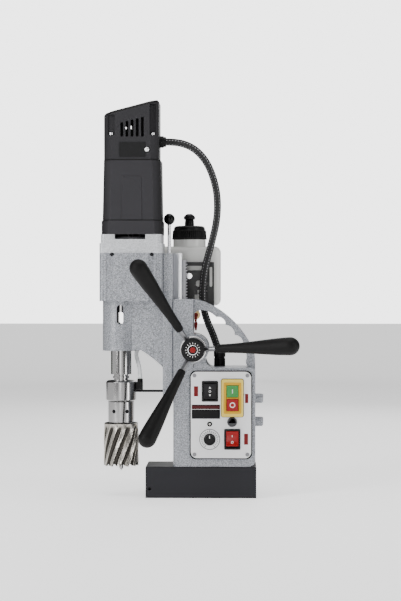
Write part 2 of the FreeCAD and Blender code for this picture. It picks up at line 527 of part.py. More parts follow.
def carriage_casting():
    head = head_block(HEAD_Z0, HEAD_Z1, HEAD_X0, HEAD_X1, HEAD_Y, 6)
    front = rounded(-134.5, -79, -HEAD_Y - 2.2, -HEAD_Y + 1, HEAD_Z0, HEAD_Z1, 1.5, "z")
    quill = cyl(SPINDLE_X, 0, QUILL_Z0, "z", QUILL_R, HEAD_Z0 - QUILL_Z0 + 1)
    web = slab_y((SPINDLE_X, HEAD_Z0 + 1), [((SLIDE_X0 + 1, HEAD_Z0 + 1),), ((SLIDE_X0 + 1, 198.5),),
                                            ((-74.0, 213.0), (-93.0, 226.0)), ((SPINDLE_X, 226.0),)], -22, 22)
    slide = box(SLIDE_X0, SLIDE_X1, -SLIDE_Y, SLIDE_Y, SLIDE_Z0, SLIDE_Z1)
    verticals = [e for e in slide.Edges if e.BoundBox.ZLength > 100]
    slide = slide.makeFillet(2.0, verticals)
    ribs = [cyl(x, -HEAD_Y + 1.5, HEAD_Z0, "z", 3.0, HEAD_Z1 - HEAD_Z0) for x in (-146.0, -70.0)]
    casting = fuse([head, front, quill, web, slide] + ribs)
    w = HEAD_WALL
    hollow = head_block(HEAD_Z0 + HEAD_FLOOR, HEAD_Z1 + 1, HEAD_X0 + w, HEAD_X1 - w, HEAD_Y - w, 4)
    casting = casting.cut(hollow)
    casting = casting.cut(cyl(SPINDLE_X, 0, QUILL_Z0 - 1, "z", QUILL_BORE, HEAD_Z0 - QUILL_Z0 + 0.6))
    casting = casting.cut(cyl(SPINDLE_X, 0, HEAD_Z0 - 2, "z", 17.0, HEAD_FLOOR + 3))
    casting = casting.cut(cyl(LAY_X, LAY_Y, 309, "z", 7.0, 12))
    slot = rounded(SPINDLE_X - 5, SPINDLE_X + 5, -60, 60, 266, 296, 4.9)
    casting = casting.cut(slot)
    for x in (-136.0, -75.0):
        casting = casting.cut(box(x - 4, x + 4, -HEAD_Y - 4, -HEAD_Y + 2.2, HEAD_Z1 - 3.6, HEAD_Z1 + 1))
    casting = casting.cut(cyl(LOCK_X, 0, SLIDE_Z1 - 42, "z", 2.75 + FIT, 50))
    casting = casting.cut(cyl(SLIDE_X0 - 1, 0, 161.5, "x", 2.0, 6))
    for z in TAIL_SCREW_Z:
        casting = casting.cut(cyl(SLIDE_X1 - 9, 0, z, "x", SMALL_SCREW_R + FIT, 12))
    return casting


TAIL_SCREW_Z = (175.0, 230.0, 290.0)
RACK_PITCH = math.pi * RACK_MODULE
RACK_LINE = FEED_X - RACK_MODULE * PINION_TEETH / 2


def feed_rack():
    """Rack bar with straight-sided teeth; a gap faces the pinion's tooth at the feed shaft's height."""
    tip_x, root_x = RACK_LINE + 0.8 * RACK_MODULE, RACK_LINE - 1.25 * RACK_MODULE
    lean = math.tan(math.radians(20))
    half = RACK_PITCH / 4 - 0.15
    first = math.ceil((SLIDE_Z0 + 8 - FEED_Z) / RACK_PITCH)
    last = math.floor((SLIDE_Z1 - 8 - FEED_Z) / RACK_PITCH)
    z_low, z_high = FEED_Z + first * RACK_PITCH, FEED_Z + last * RACK_PITCH
    points = [(TAIL_X1, z_low), (root_x, z_low)]
    for k in range(first, last):
        z = FEED_Z + (k + 0.5) * RACK_PITCH
        root_half = half + (RACK_LINE - root_x) * lean
        tip_half = half - (tip_x - RACK_LINE) * lean
        points += [(root_x, z - root_half), (tip_x, z - tip_half),
                   (tip_x, z + tip_half), (root_x, z + root_half)]
    points += [(root_x, z_high), (TAIL_X1, z_high)]
    rack = slab_y(points[0], [(p,) for p in points[1:]], -RACK_Y, RACK_Y)
    for z in TAIL_SCREW_Z:
        rack = rack.cut(cyl(TAIL_X1 - 1, 0, z, "x", SMALL_SCREW_R + FIT, 30))
    return rack


def carriage_parts():
    write("gearbox_casting", carriage_casting())
    tail = slab_z([(SLIDE_X1, -TAIL_NECK), (TAIL_X1, -TAIL_TIP), (TAIL_X1, TAIL_TIP), (SLIDE_X1, TAIL_NECK)],
                  SLIDE_Z0, SLIDE_Z1)
    for z in TAIL_SCREW_Z:
        tail = tail.cut(cyl(SLIDE_X1 - 1, 0, z, "x", SMALL_SCREW_R + FIT, 30))
    write("dovetail_slide", tail)
    write("feed_rack", feed_rack())

    cover = fuse([head_block(HEAD_Z1, COVER_STEP_Z, HEAD_X0, HEAD_X1, HEAD_Y, 6),
                  head_block(COVER_STEP_Z, COVER_TOP, HEAD_X0 + 2.1, HEAD_X1 - 1.6, HEAD_Y - 1.5, 6)])
    w = HEAD_WALL
    cover = cover.cut(head_block(HEAD_Z1 - 1, PLATE_Z0, HEAD_X0 + w, HEAD_X1 - w, HEAD_Y - w, 4))
    cover = cover.cut(cyl(MOTOR_X, 0, PLATE_Z1, "z", 39.0, 20))
    cover = cover.cut(cyl(MOTOR_X, 0, PLATE_Z0 - 1, "z", 10.0 + FIT, 12))
    cover = cover.cut(cyl(LAY_X, LAY_Y, PLATE_Z0 - 1, "z", 6.5 + FIT, 7.5))
    cover = cover.cut(box(-132, -85, -HEAD_Y - 2, -30, PLATE_Z1 + 1, COVER_TOP + 1))
    cover = cover.cut(box(-132, -85, 30, HEAD_Y + 2, PLATE_Z1 + 1, COVER_TOP + 1))
    write("gearbox_cover", cover)

    c, t = MOTOR_CHAMFER, MOTOR_WALL
    band = slab_z(chamfered(MOTOR_CX, MOTOR_HALF, MOTOR_Y, c), COVER_TOP, MOTOR_BAND_TOP)
    low = chamfered(MOTOR_CX, MOTOR_HALF - 1.4, MOTOR_Y - 1.4, c)
    high = chamfered(MOTOR_CX + 0.3, MOTOR_HALF - 3.0, MOTOR_Y - 2.5, c)
    can = loft_z(low, MOTOR_BAND_TOP, high, MOTOR_TOP)
    band = band.makeFillet(1.5, [e for e in band.Edges if e.BoundBox.ZLength > 15])
    can = can.makeFillet(1.5, [e for e in can.Edges if e.BoundBox.ZLength > 15])
    band = band.makeChamfer(0.8, [e for e in band.Edges if e.BoundBox.ZMin > MOTOR_BAND_TOP - 0.1])
    can = can.makeChamfer(0.6, [e for e in can.Edges if e.BoundBox.ZMin > MOTOR_TOP - 0.1])
    door_low = [(-121.5, -MOTOR_Y + 0.2), (-90, -MOTOR_Y + 0.2), (-90, -40), (-121.5, -40)]
    door_high = [(-120.5, -MOTOR_Y + 1.5), (-91, -MOTOR_Y + 1.5), (-91, -40), (-120.5, -40)]
    door = loft_z(door_low, MOTOR_BAND_TOP + 1, door_high, 494)
    door = door.makeFillet(0.8, [e for e in door.Edges if e.BoundBox.YMax < -MOTOR_Y + 2])
    motor = fuse([band, can, door])
    inner = chamfered(MOTOR_CX, MOTOR_HALF - 3.0 - t, MOTOR_Y - 2.5 - t, c - 1)
    motor = motor.cut(slab_z(inner, COVER_TOP - 1, MOTOR_TOP + 1))
    write("motor_housing", motor)

    slope = (CAP_RIGHT - CAP_LEFT) / (2 * CAP_HALF)

    def cap_solid(shrink, z0, drop):
        shape = slab_z(chamfered(CAP_CX, CAP_HALF - shrink, CAP_Y - shrink, c - shrink), z0, CAP_RIGHT + 20)
        left_z = CAP_LEFT - drop - slope * (200 + CAP_CX - CAP_HALF)
        right_z = CAP_LEFT - drop + slope * (CAP_HALF - CAP_CX)
        top = slab_y((-200, left_z), [((0, right_z),), ((0, 700),), ((-200, 700),)], -80, 80)
        return shape.cut(top)

    cap = cap_solid(0, MOTOR_TOP, 0)
    top_edges = [e for e in cap.Edges if e.BoundBox.ZMin > CAP_LEFT - 1]
    cap = cap.makeChamfer(3.0, top_edges)
    cap = cap.cut(cap_solid(t, MOTOR_TOP - 1, t))
    seat = box(CAP_CX - CAP_HALF + 1, CAP_CX + CAP_HALF - 1, -13, 13, 536, 552)
    cap = fuse([cap, seat]).cut(cyl(MOTOR_X, 0, 535, "z", 9.0 + FIT, 18))
    for k in range(5):
        x = -123.3 + 7.9 * k
        for side in (-1, 1):
            y0 = -CAP_Y - 1 if side < 0 else CAP_Y - 8
            cap = cap.cut(rounded(x, x + 4.4, y0, y0 + 9, 554, 576 + 2.0 * k, 1.5))
    channels = []
    for x, width, inset in ((-137.5, 11.0, 4.6), (-73.8, 9.4, 7.2)):
        for side in (-1, 1):
            screw_y = side * (CAP_Y - inset)
            channels.append((x, screw_y))
            y0, y1 = sorted((side * (CAP_Y + 1), side * (CAP_Y - inset - 3.9)))
            pad_y0, pad_y1 = sorted((side * (CAP_Y - 4), side * (CAP_Y - inset - 6.9)))
            roof = CAP_LEFT + slope * (x - width / 2 - CAP_CX + CAP_HALF)
            pad = box(x - width / 2 - 2, x + width / 2 + 2, pad_y0, pad_y1, 545, CAP_RIGHT)
            cap = fuse([cap, pad.common(cap_solid(0.5, MOTOR_TOP, 1.0))])
            cap = cap.cut(box(x - width / 2, x + width / 2, y0, y1, 557, roof - 4))
            cap = cap.cut(cyl(x, screw_y, 546, "z", 2.0 + FIT, 12))
    write("motor_end_cap", cap)
    screws = [socket_screw(x, y, 557, "z", 2.0, 9, 3.55, 3.2, 1.6) for x, y in channels]
    for z in TAIL_SCREW_Z:
        screw = cyl(SLIDE_X1 - 8, 0, z, "x", SMALL_SCREW_R, 25)
        screws.append(screw.cut(cyl(SLIDE_X1 + 14, 0, z, "x", 1.25, 5)))
    write("carriage_screws", Part.makeCompound(screws))

    write("stator", tube(MOTOR_X, 0, 440, "z", 21.0, 35.5, 58))
    holders = []
    for side in (-1, 1):
        y0, y1 = sorted((side * 13.0, side * 36.0))
        holder = box(MOTOR_X - 5, MOTOR_X + 5, y0, y1, 508, 520)
        holders.append(holder)
    write("brush_holders", Part.makeCompound(holders))

    bearings = [tube(SPINDLE_X, 0, 228, "z", 15.85 + FIT, QUILL_BORE - FIT, 15),
                tube(SPINDLE_X, 0, 303.5, "z", 9.0 + FIT, 17.0 - FIT, 12),
                tube(LAY_X, LAY_Y, 309.2, "z", 3.5 + FIT, 7.0 - FIT, 8),
                tube(LAY_X, LAY_Y, 386.4, "z", 3.5 + FIT, 6.5, 6),
                tube(MOTOR_X, 0, 387, "z", 4.5 + FIT, 10.0, 8.5),
                tube(MOTOR_X, 0, 538, "z", 4.5 + FIT, 9.0, 10)]
    write("ball_bearings", Part.makeCompound(bearings))

    ring_bore, ring_foot = 14.0 + GAP, RING_Z0 + GAP
    ring = turned(SPINDLE_X, 0, [(ring_bore, ring_foot), (RING_R - 1.5, ring_foot), (RING_R, ring_foot + 1.5),
                                 (RING_R, RING_Z1 - 2.5), (RING_R - 2.5, RING_Z1), (ring_bore, RING_Z1)])
    write("coolant_ring", ring)
    hole_z = 170.0
    leg = cyl(SPINDLE_X + 15, 0, hole_z, "x", 3.4, 14.5)
    elbow = fuse([leg.cut(cyl(SPINDLE_X, 0, 150, "z", RING_R, 30)), box(-101.4, -91.2, -5.2, 5.2, 164.2, 176),
                  cyl(-95.5, 0, 176, "z", 4.4, 5.0)])
    elbow = elbow.cut(cyl(SPINDLE_X, 0, 150, "z", RING_R + FIT, 30))
    write("coolant_elbow", elbow)
    rod = cyl(SPINDLE_X + 15, 8, 161.5, "x", 1.9, SLIDE_X0 - SPINDLE_X - 15)
    write("ring_stop_rod", rod.cut(cyl(SPINDLE_X, 0, 150, "z", RING_R + FIT, 30)))

    lock = fuse([cyl(LOCK_X, 0, SLIDE_Z1 - 34, "z", 2.75, BALL_Z - SLIDE_Z1 + 34),
                 Part.makeSphere(BALL_R, Vec(LOCK_X, 0, BALL_Z))])
    write("lock_lever", lock)


# ---- turning pieces ----
def drive_parts():
    r1, r2 = STAGE1_MODULE, STAGE2_MODULE
    to_lay = math.degrees(math.atan2(LAY_Y, LAY_X - MOTOR_X))
    lay_to_spindle = math.degrees(math.atan2(-LAY_Y, SPINDLE_X - LAY_X))
    half_pitch = 180.0 / LARGE_TEETH
    shaft = fuse([cyl(MOTOR_X, 0, 383, "z", 4.5, 166), cyl(MOTOR_X, 0, 442, "z", 20.0, 54),
                  cyl(MOTOR_X, 0, 505, "z", 12.0, 18),
                  gear(MOTOR_X, 0, 371, SMALL_TEETH, r1, 12.5, to_lay)])
    write("armature", shaft)
    blades = [box(6.0, 33.0, -0.8, 0.8, 401, 411) for k in range(11)]
    for k, blade in enumerate(blades):
        blade.rotate(Vec(0, 0, 0), Vec(0, 0, 1), 360.0 * k / 11)
    fan = fuse([tube(0, 0, 399, "z", 4.5, 8.0, 13), tube(0, 0, 398.5, "z", 4.5, 34.0, 2.5)] + blades)
    fan.translate(Vec(MOTOR_X, 0, 0))
    write("cooling_fan", fan)
    lay = fuse([cyl(LAY_X, LAY_Y, 309.5, "z", 3.5, 82.5),
                gear(LAY_X, LAY_Y, 372, LARGE_TEETH, r1, 10, to_lay + 180 + half_pitch),
                gear(LAY_X, LAY_Y, 327, SMALL_TEETH, r2, 19, lay_to_spindle)])
    write("layshaft", lay)

    core = turned(SPINDLE_X, 0, [(0, 188), (15.85, 188), (15.85, 247), (14, 247), (14, 299),
                                 (9, 301), (9, 352), (0, 352)])
    wheel = gear(SPINDLE_X, 0, 330, LARGE_TEETH, r2, 14, lay_to_spindle + 180 + half_pitch)
    spindle = fuse([core, wheel])
    socket = turned(SPINDLE_X, 0, [(0, 187), (12.03, 187), (10.1, 262), (0, 262)])
    spindle = spindle.cut(socket).cut(rounded(SPINDLE_X - 4, SPINDLE_X + 4, -20, 20, 259, 285, 3.5))
    write("spindle", spindle)

    arbor = turned(SPINDLE_X, 0, [(0, 114), (20.3, 114), (20.3, 145.2), (19.1, 146.4), (14, 146.4),
                                  (14, 179.0), (10.8, 179.0), (10.8, 182), (12.6, 182), (12.6, 185),
                                  (10.8, 185), (10.8, 188), (11.92, 188.2), (10.2, 256), (0, 256)])
    arbor = arbor.cut(cyl(SPINDLE_X, 0, 113, "z", 9.5 + FIT, 30)).cut(cyl(SPINDLE_X, 0, 142, "z", 5.4, 72))
    for spot in GRUB_ANGLES:
        arbor = arbor.cut(grub(spot, 3.0 + FIT, 9, 22))
    write("arbor", arbor)
    grubs = [grub(spot, 3.0, 9.62, 19.0).cut(grub(spot, 1.4, 16, 20)) for spot in GRUB_ANGLES]
    write("grub_screws", Part.makeCompound(grubs))
    cutter = turned(SPINDLE_X, 0, [(PIN_R + GAP, 106), (PIN_R + GAP, 141), (9.5, 141), (9.5, CUTTER_Z1),
                                   (21.0, CUTTER_Z1), (CUTTER_R - 1.2, 108), (CUTTER_R, 106.5),
                                   (CUTTER_R, CUTTER_Z0),
                                   (CUTTER_R - 4.2, CUTTER_Z0 + 1.5), (CUTTER_R - 4.5, 100), (8.0, 106)])
    write("annular_cutter", cutter)
    pin = turned(SPINDLE_X, 0, [(0, PIN_Z0), (PIN_R, PIN_Z0 + 3.5), (PIN_R, 143), (4.9, 143),
                                (4.9, 147), (0, 147)])
    write("pilot_pin", pin)
    write("pilot_spring", tube(SPINDLE_X, 0, 147, "z", 3.4, 4.7, 67))


GRUB_ANGLES = (-60.0, -120.0)


def grub(angle, r, r0, r1):
    way = Vec(math.cos(math.radians(angle)), math.sin(math.radians(angle)), 0)
    return Part.makeCylinder(r, r1 - r0, Vec(SPINDLE_X, 0, 131) + way * r0, way)


# ---- feed shaft, hub and arms ----
def capstan_parts():
    teeth = gear_outline(PINION_TEETH, RACK_MODULE)
    pinion = slab_y((FEED_X - teeth[0][0], FEED_Z + teeth[0][1]),
                    [((FEED_X - x, FEED_Z + z),) for x, z in teeth[1:]], -10, 10)
    shaft = fuse([cyl(FEED_X, -78, FEED_Z, "y", SHAFT_R, 113), pinion])
    write("feed_shaft", shaft)
    hub = cyl(FEED_X, HUB_Y0, FEED_Z, "y", HUB_R, HUB_Y1 - HUB_Y0)
    hub = hub.makeFillet(2.5, [e for e in hub.Edges if e.BoundBox.YMax < HUB_Y0 + 1])
    hub = hub.cut(cyl(FEED_X, -78 - FIT, FEED_Z, "y", SHAFT_R + FIT, 30))
    hub = hub.cut(tube(FEED_X, HUB_Y0 - 1, FEED_Z, "y", 13.8, 14.8, 1.8))
    rods, grips = [], []
    for angle in ARM_ANGLES:
        a, t = math.radians(angle), math.radians(ARM_TILT)
        way = Vec(math.cos(a) * math.cos(t), -math.sin(t), math.sin(a) * math.cos(t))
        root = Vec(FEED_X, ARM_ROOT_Y, FEED_Z)
        hub = hub.cut(Part.makeCylinder(3.75 + FIT, 20, root + way * 11.5, way))
        rods.append(Part.makeCylinder(3.75, 60, root + way * 12, way))
        profile = [(0, 38.0), (5.9, 38.0), (6.5, 38.8), (7.6, 60.0), (9.6, 95.0), (12.4, 140.0),
                   (13.4, 157.0), (0, 157.0)]
        side = way.cross(Vec(0, 0, 1)).normalize()
        taper = outline(profile[0], [(p,) for p in profile[1:]], lambda p: root + way * p[1] + side * p[0])
        grip = taper.revolve(root, way, 360).fuse(Part.makeSphere(13.6, root + way * 158.5)).removeSplitter()
        grips.append(grip.cut(Part.makeCylinder(3.75 + FIT, 73, root, way)))
    write("capstan_hub", hub)
    write("arm_rods", Part.makeCompound(rods))
    write("arm_grips", Part.makeCompound(grips))


magnet_parts()
stand_parts()
panel_parts()
gland_parts()
tank_parts()
carriage_parts()
drive_parts()
capstan_parts()
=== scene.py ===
"""Portable magnetic-base drill press: its looks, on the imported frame. Metres, +Z up, the panel at -Y."""
import bmesh
import bpy
import math
from mathutils import Matrix, Vector


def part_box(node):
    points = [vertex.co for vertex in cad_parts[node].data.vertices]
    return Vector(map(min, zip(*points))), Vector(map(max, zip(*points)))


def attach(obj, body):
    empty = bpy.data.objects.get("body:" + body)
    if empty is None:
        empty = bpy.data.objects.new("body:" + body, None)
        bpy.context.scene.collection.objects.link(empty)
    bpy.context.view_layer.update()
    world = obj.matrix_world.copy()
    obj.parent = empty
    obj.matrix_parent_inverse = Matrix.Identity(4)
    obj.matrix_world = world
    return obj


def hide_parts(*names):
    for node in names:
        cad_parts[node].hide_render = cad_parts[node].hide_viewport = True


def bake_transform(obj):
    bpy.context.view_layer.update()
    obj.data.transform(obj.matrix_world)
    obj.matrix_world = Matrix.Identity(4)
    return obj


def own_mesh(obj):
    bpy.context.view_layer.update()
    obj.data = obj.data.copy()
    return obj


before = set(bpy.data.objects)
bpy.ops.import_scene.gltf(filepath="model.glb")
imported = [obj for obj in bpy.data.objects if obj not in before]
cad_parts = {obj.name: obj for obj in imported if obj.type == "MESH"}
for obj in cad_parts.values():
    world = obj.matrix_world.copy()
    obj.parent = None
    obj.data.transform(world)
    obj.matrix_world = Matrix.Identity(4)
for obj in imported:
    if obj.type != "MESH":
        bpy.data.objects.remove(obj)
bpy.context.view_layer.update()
MM = 0.001

# ------------------------
# The studio: a pale floor that runs far behind the machine, a white surround, one large soft light on the
# left, a weaker one on the right, one overhead and one behind. Black flags and a white card stand round it,
# unseen by the camera. The camera stands nearly level, 2.7 m away.
camera_data = bpy.data.cameras.new("camera")
camera_data.lens = 104.5
camera_data.sensor_width = 36.0
camera_data.sensor_fit = "AUTO"
camera = bpy.data.objects.new("camera", camera_data)
camera.location = (0.061, -2.712, 0.327)
aim = Vector((-0.0005, -0.042, 0.303)) - camera.location
camera.rotation_euler = aim.to_track_quat("-Z", "Y").to_euler()
bpy.context.collection.objects.link(camera)
bpy.context.scene.camera = camera

class Value:
    """A number that varies over a surface; maths on it adds the Math nodes."""

    def __init__(self, paint, socket):
        self.paint, self.socket = paint, socket

    def math(self, operation, first, second=None):
        inputs = {0: first} if second is None else {0: first, 1: second}
        return self.paint.add("ShaderNodeMath", {"operation": operation}, inputs)[0]

    def __add__(self, other): return self.math("ADD", self, other)
    def __radd__(self, other): return self.math("ADD", other, self)
    def __sub__(self, other): return self.math("SUBTRACT", self, other)
    def __rsub__(self, other): return self.math("SUBTRACT", other, self)
    def __mul__(self, other): return self.math("MULTIPLY", self, other)
    def __pow__(self, other): return self.math("POWER", self, other)
    def __gt__(self, other): return self.math("GREATER_THAN", self, other)
    def __lt__(self, other): return self.math("LESS_THAN", self, other)
    def sine(self): return self.math("SINE", self)
    def size(self): return self.math("ABSOLUTE", self)


class Nodes:
    """The nodes of one material or world."""

    def __init__(self, tree):
        self.tree = tree

    def set(self, node, inputs):
        for key, value in inputs.items():
            if isinstance(value, Value):
                self.tree.links.new(value.socket, node.inputs[key])
            else:
                node.inputs[key].default_value = value

    def add(self, kind, settings=(), inputs=()):
        """Adds a node and returns its outputs as values."""
        node = self.tree.nodes.new(kind)
        for key, value in dict(settings).items():
            if key == "stops":
                ramp = node.color_ramp
                while len(ramp.elements) < len(value):
                    ramp.elements.new(0.5)
                for stop, (place, shade) in zip(ramp.elements, value):
                    stop.position, stop.color = place, (shade, shade, shade, 1.0)
            else:
                setattr(node, key, value)
        self.set(node, dict(inputs))
        return [Value(self, socket) for socket in node.outputs if socket.enabled]

    def place(self, sx=1.0, sy=1.0, sz=1.0):
        """The point on the object in metres, stretched along each axis."""
        point = self.add("ShaderNodeTexCoord")[3]
        return self.add("ShaderNodeVectorMath", {"operation": "MULTIPLY"}, {0: point, 1: (sx, sy, sz)})[0]

    def noise(self, scale, detail=2.0, at=None, rough=0.5):
        at = at or self.place()
        return self.add("ShaderNodeTexNoise", {}, {"Vector": at, "Scale": scale, "Detail": detail,
                                                   "Roughness": rough})[0]

    def between(self, low, high, value):
        """Turns a value into 0 at low and 1 at high, with soft ends."""
        return self.add("ShaderNodeMapRange", {"interpolation_type": "SMOOTHSTEP"},
                        {"Value": value, "From Min": low, "From Max": high})[0]

    def mix(self, mask, first, second):
        """Colour mix: first where the mask is 0, second where it is 1. Colours are triples or values."""
        first, second = (c if isinstance(c, Value) else (*c, 1.0) for c in (first, second))
        return self.add("ShaderNodeMix", {"data_type": "RGBA"}, {"Factor": mask, 6: first, 7: second})[0]

    def height(self):
        """Height on the object in metres."""
        return self.add("ShaderNodeSeparateXYZ", {}, {0: self.place()})[2]


class Paint(Nodes):
    """One finish: a Principled shader with its constants set, and the nodes that vary it."""

    def __init__(self, name, color, roughness=0.5, metallic=0.0, **constants):
        self.material = bpy.data.materials.new(name)
        self.material.use_nodes = True
        super().__init__(self.material.node_tree)
        self.shader = self.tree.nodes["Principled BSDF"]
        self.set(self.shader, {"Base Color": (*color, 1.0), "Roughness": roughness, "Metallic": metallic})
        self.set(self.shader, {key.replace("_", " "): value for key, value in constants.items()})

    def bump(self, height, distance, strength=1.0):
        normal = self.add("ShaderNodeBump", {}, {"Height": height, "Distance": distance,
                                                 "Strength": strength})
        self.set(self.shader, {"Normal": normal[0]})

    def finish(self, **inputs):
        self.set(self.shader, {key.replace("_", " "): value for key, value in inputs.items()})
        return self.material


surround = bpy.data.worlds.new("surround")
surround.use_nodes = True
studio = Nodes(surround.node_tree)
sky = surround.node_tree.nodes["Background"]
WHITE = (1, 1, 1, 1)
SEEN_SKY, ROOM_STRIP, ROOM_DARK = 3.6, 0.62, 0.07  # strengths: to the camera, and in reflections
toward = studio.add("ShaderNodeSeparateXYZ", {}, {0: studio.add("ShaderNodeTexCoord")[0]})
azimuth = toward[0].math("ARCTAN2", toward[0], 0.0 - toward[1])
strips = studio.between(0.0, 0.7, (azimuth * 4.0 + 1.1).sine())
camera_ray = studio.add("ShaderNodeLightPath")[0]
room = strips * ROOM_STRIP + ROOM_DARK
studio.set(sky, {"Color": WHITE, "Strength": camera_ray * SEEN_SKY + (1.0 - camera_ray) * room})
bpy.context.scene.world = surround


def softbox(name, place, target, size, watts):
    lamp = bpy.data.lights.new(name, "AREA")
    lamp.shape = "RECTANGLE"
    lamp.size, lamp.size_y = size
    lamp.energy = watts
    stand = bpy.data.objects.new(name, lamp)
    stand.location = place
    stand.rotation_euler = (Vector(target) - Vector(place)).to_track_quat("-Z", "Y").to_euler()
    bpy.context.collection.objects.link(stand)


softbox("key_left", (-1.3, -1.2, 0.9), (-0.05, 0, 0.3), (0.5, 1.5), 26)
softbox("fill_right", (1.4, -0.9, 0.6), (0, 0, 0.3), (0.35, 1.3), 11)
softbox("overhead", (0, -0.1, 1.8), (0, 0, 0.3), (1.4, 1.2), 16)
softbox("behind", (0.4, 1.6, 1.1), (0, 0, 0.3), (1.2, 1.0), 10)


def plain_grey(name, grey, roughness, scale, low, high, **constants):
    """Grey finish that drifts between two close tones."""
    paint = Paint(name, (grey, grey, grey), roughness, **constants)
    return paint.finish(Base_Color=paint.mix(paint.noise(scale), (low, low, low), (high, high, high)))


floor_material = plain_grey("pale_floor", 0.86, 0.7, 6.0, 0.85, 0.88, Emission_Color=WHITE,
                            Emission_Strength=0.9)


def mesh_piece(name, points, faces, material, smooth=True):
    data = bpy.data.meshes.new(name)
    data.from_pydata([tuple(p) for p in points], [], faces)
    data.validate()
    piece = bpy.data.objects.new(name, data)
    bpy.context.collection.objects.link(piece)
    data.materials.append(material)
    data.shade_smooth() if smooth else data.shade_flat()
    return piece


FLOOR = 12.0
floor = mesh_piece("floor", [(-FLOOR, -FLOOR, 0), (FLOOR, -FLOOR, 0), (FLOOR, FLOOR, 0), (-FLOOR, FLOOR, 0)],
                   [(0, 1, 2, 3)], floor_material, smooth=False)


flag_material = plain_grey("flag_cloth", 0.004, 0.9, 60.0, 0.003, 0.006)
card_material = plain_grey("white_card", 0.8, 0.9, 60.0, 0.78, 0.82, Emission_Color=WHITE,
                           Emission_Strength=3.4)


def flag(name, azimuth, width, material=flag_material, away=3.3, height=1.5):
    """A cloth or card beside the set, unseen by the camera, that gives bright metal its dark and light
    streaks. The azimuth, from straight in front, and the width are in degrees."""
    corners = []
    for turn in (azimuth - width / 2, azimuth + width / 2):
        a = math.radians(turn)
        corners.append((away * math.sin(a), -away * math.cos(a)))
    (ax, ay), (bx, by) = corners
    corners = [(ax, ay, 0), (bx, by, 0), (bx, by, height), (ax, ay, height)]
    cloth_piece = mesh_piece(name, corners, [(0, 1, 2, 3)], material, smooth=False)
    cloth_piece.visible_camera = False


for name, middle, width in (("flag_front_left", -38, 34), ("flag_back_left", -146, 62),
                            ("flag_front_right", 46, 46), ("flag_back_right", 148, 60)):
    flag(name, middle, width)
flag("card_front", -5, 13, card_material)

# ------------------------
# Power conduit: the motor's cable in a black braided sleeve, 11.5 mm thick. It leaves the end cap sideways,
# hangs in a long S behind the handle and goes down into the gland on the control box.
CONDUIT_THICK = 11.5 * MM
CONDUIT_POINTS = [(-55, 0, 549), (-37, 0, 549), (-14.5, 2, 541.5), (3, 5, 526), (15.8, 9, 503),
                  (24.8, 13, 469), (24.6, 17, 431), (15.4, 20, 391.5), (4.8, 22, 354), (1, 24, 320),
                  (2, 25, 291), (9.5, 25.4, 267), (19.5, 25.2, 245.5), (27.0, 25, 221)]


def route_line(name, points, steps):
    """Points along the smooth curve that a route's control points make, in metres."""
    curve = bpy.data.curves.new(name, "CURVE")
    curve.dimensions = "3D"
    spline = curve.splines.new("NURBS")
    spline.points.add(len(points) - 1)
    for point, (x, y, z) in zip(spline.points, points):
        point.co = (x * MM, y * MM, z * MM, 1.0)
    spline.order_u = 3
    spline.use_endpoint_u = True
    spline.resolution_u = steps
    carrier = bpy.data.objects.new(name, curve)
    line = bpy.data.meshes.new_from_object(carrier)
    found = [v.co.copy() for v in line.vertices]
    bpy.data.objects.remove(carrier)
    bpy.data.curves.remove(curve)
    bpy.data.meshes.remove(line)
    return found


def skin(rings, around, closed=False):
    """Faces through rings of points: the last ring joins the first, or both ends are capped."""
    faces = []
    for i in range(rings if closed else rings - 1):
        here, there = i * around, (i + 1) % rings * around
        for k in range(around):
            n = (k + 1) % around
            faces.append((here + k, here + n, there + n, there + k))
    if not closed:
        faces.append(tuple(range(around))[::-1])
        faces.append(tuple((rings - 1) * around + k for k in range(around)))
    return faces


def tube_along(name, line, radius, material, around=20):
    """Round tube along a line; radius is a number or a function of the distance along, in metres.
    Its UV map runs once around, and along in metres."""
    points, way = [], []
    side = Vector((0, 1, 0))
    gone = 0.0
    for i, here in enumerate(line):
        along = (line[min(i + 1, len(line) - 1)] - line[max(i - 1, 0)]).normalized()
        side = (side - along * side.dot(along)).normalized()
        up = along.cross(side)
        gone += (here - line[i - 1]).length if i else 0.0
        way.append(gone)
        r = radius(gone) if callable(radius) else radius
        for k in range(around):
            a = 2 * math.pi * k / around
            points.append(here + side * (r * math.cos(a)) + up * (r * math.sin(a)))
    piece = mesh_piece(name, points, skin(len(line), around), material)
    layer = piece.data.uv_layers.new(name="along")
    for polygon in piece.data.polygons:
        seam = around - 1 in [piece.data.loops[i].vertex_index % around for i in polygon.loop_indices]
        for i in polygon.loop_indices:
            vertex = piece.data.loops[i].vertex_index
            k = vertex % around
            turn = 1.0 if seam and k == 0 else k / around
            layer.data[i].uv = (turn, way[vertex // around])
    return piece


def fine_line(line, step):
    """The same line with points an even step apart."""
    result, left = [line[0]], step
    for a, b in zip(line, line[1:]):
        run = (b - a).length
        done = 0.0
        while run - done >= left:
            done += left
            result.append(a.lerp(b, done / run))
            left = step
        left -= run - done
    return result + [line[-1]]


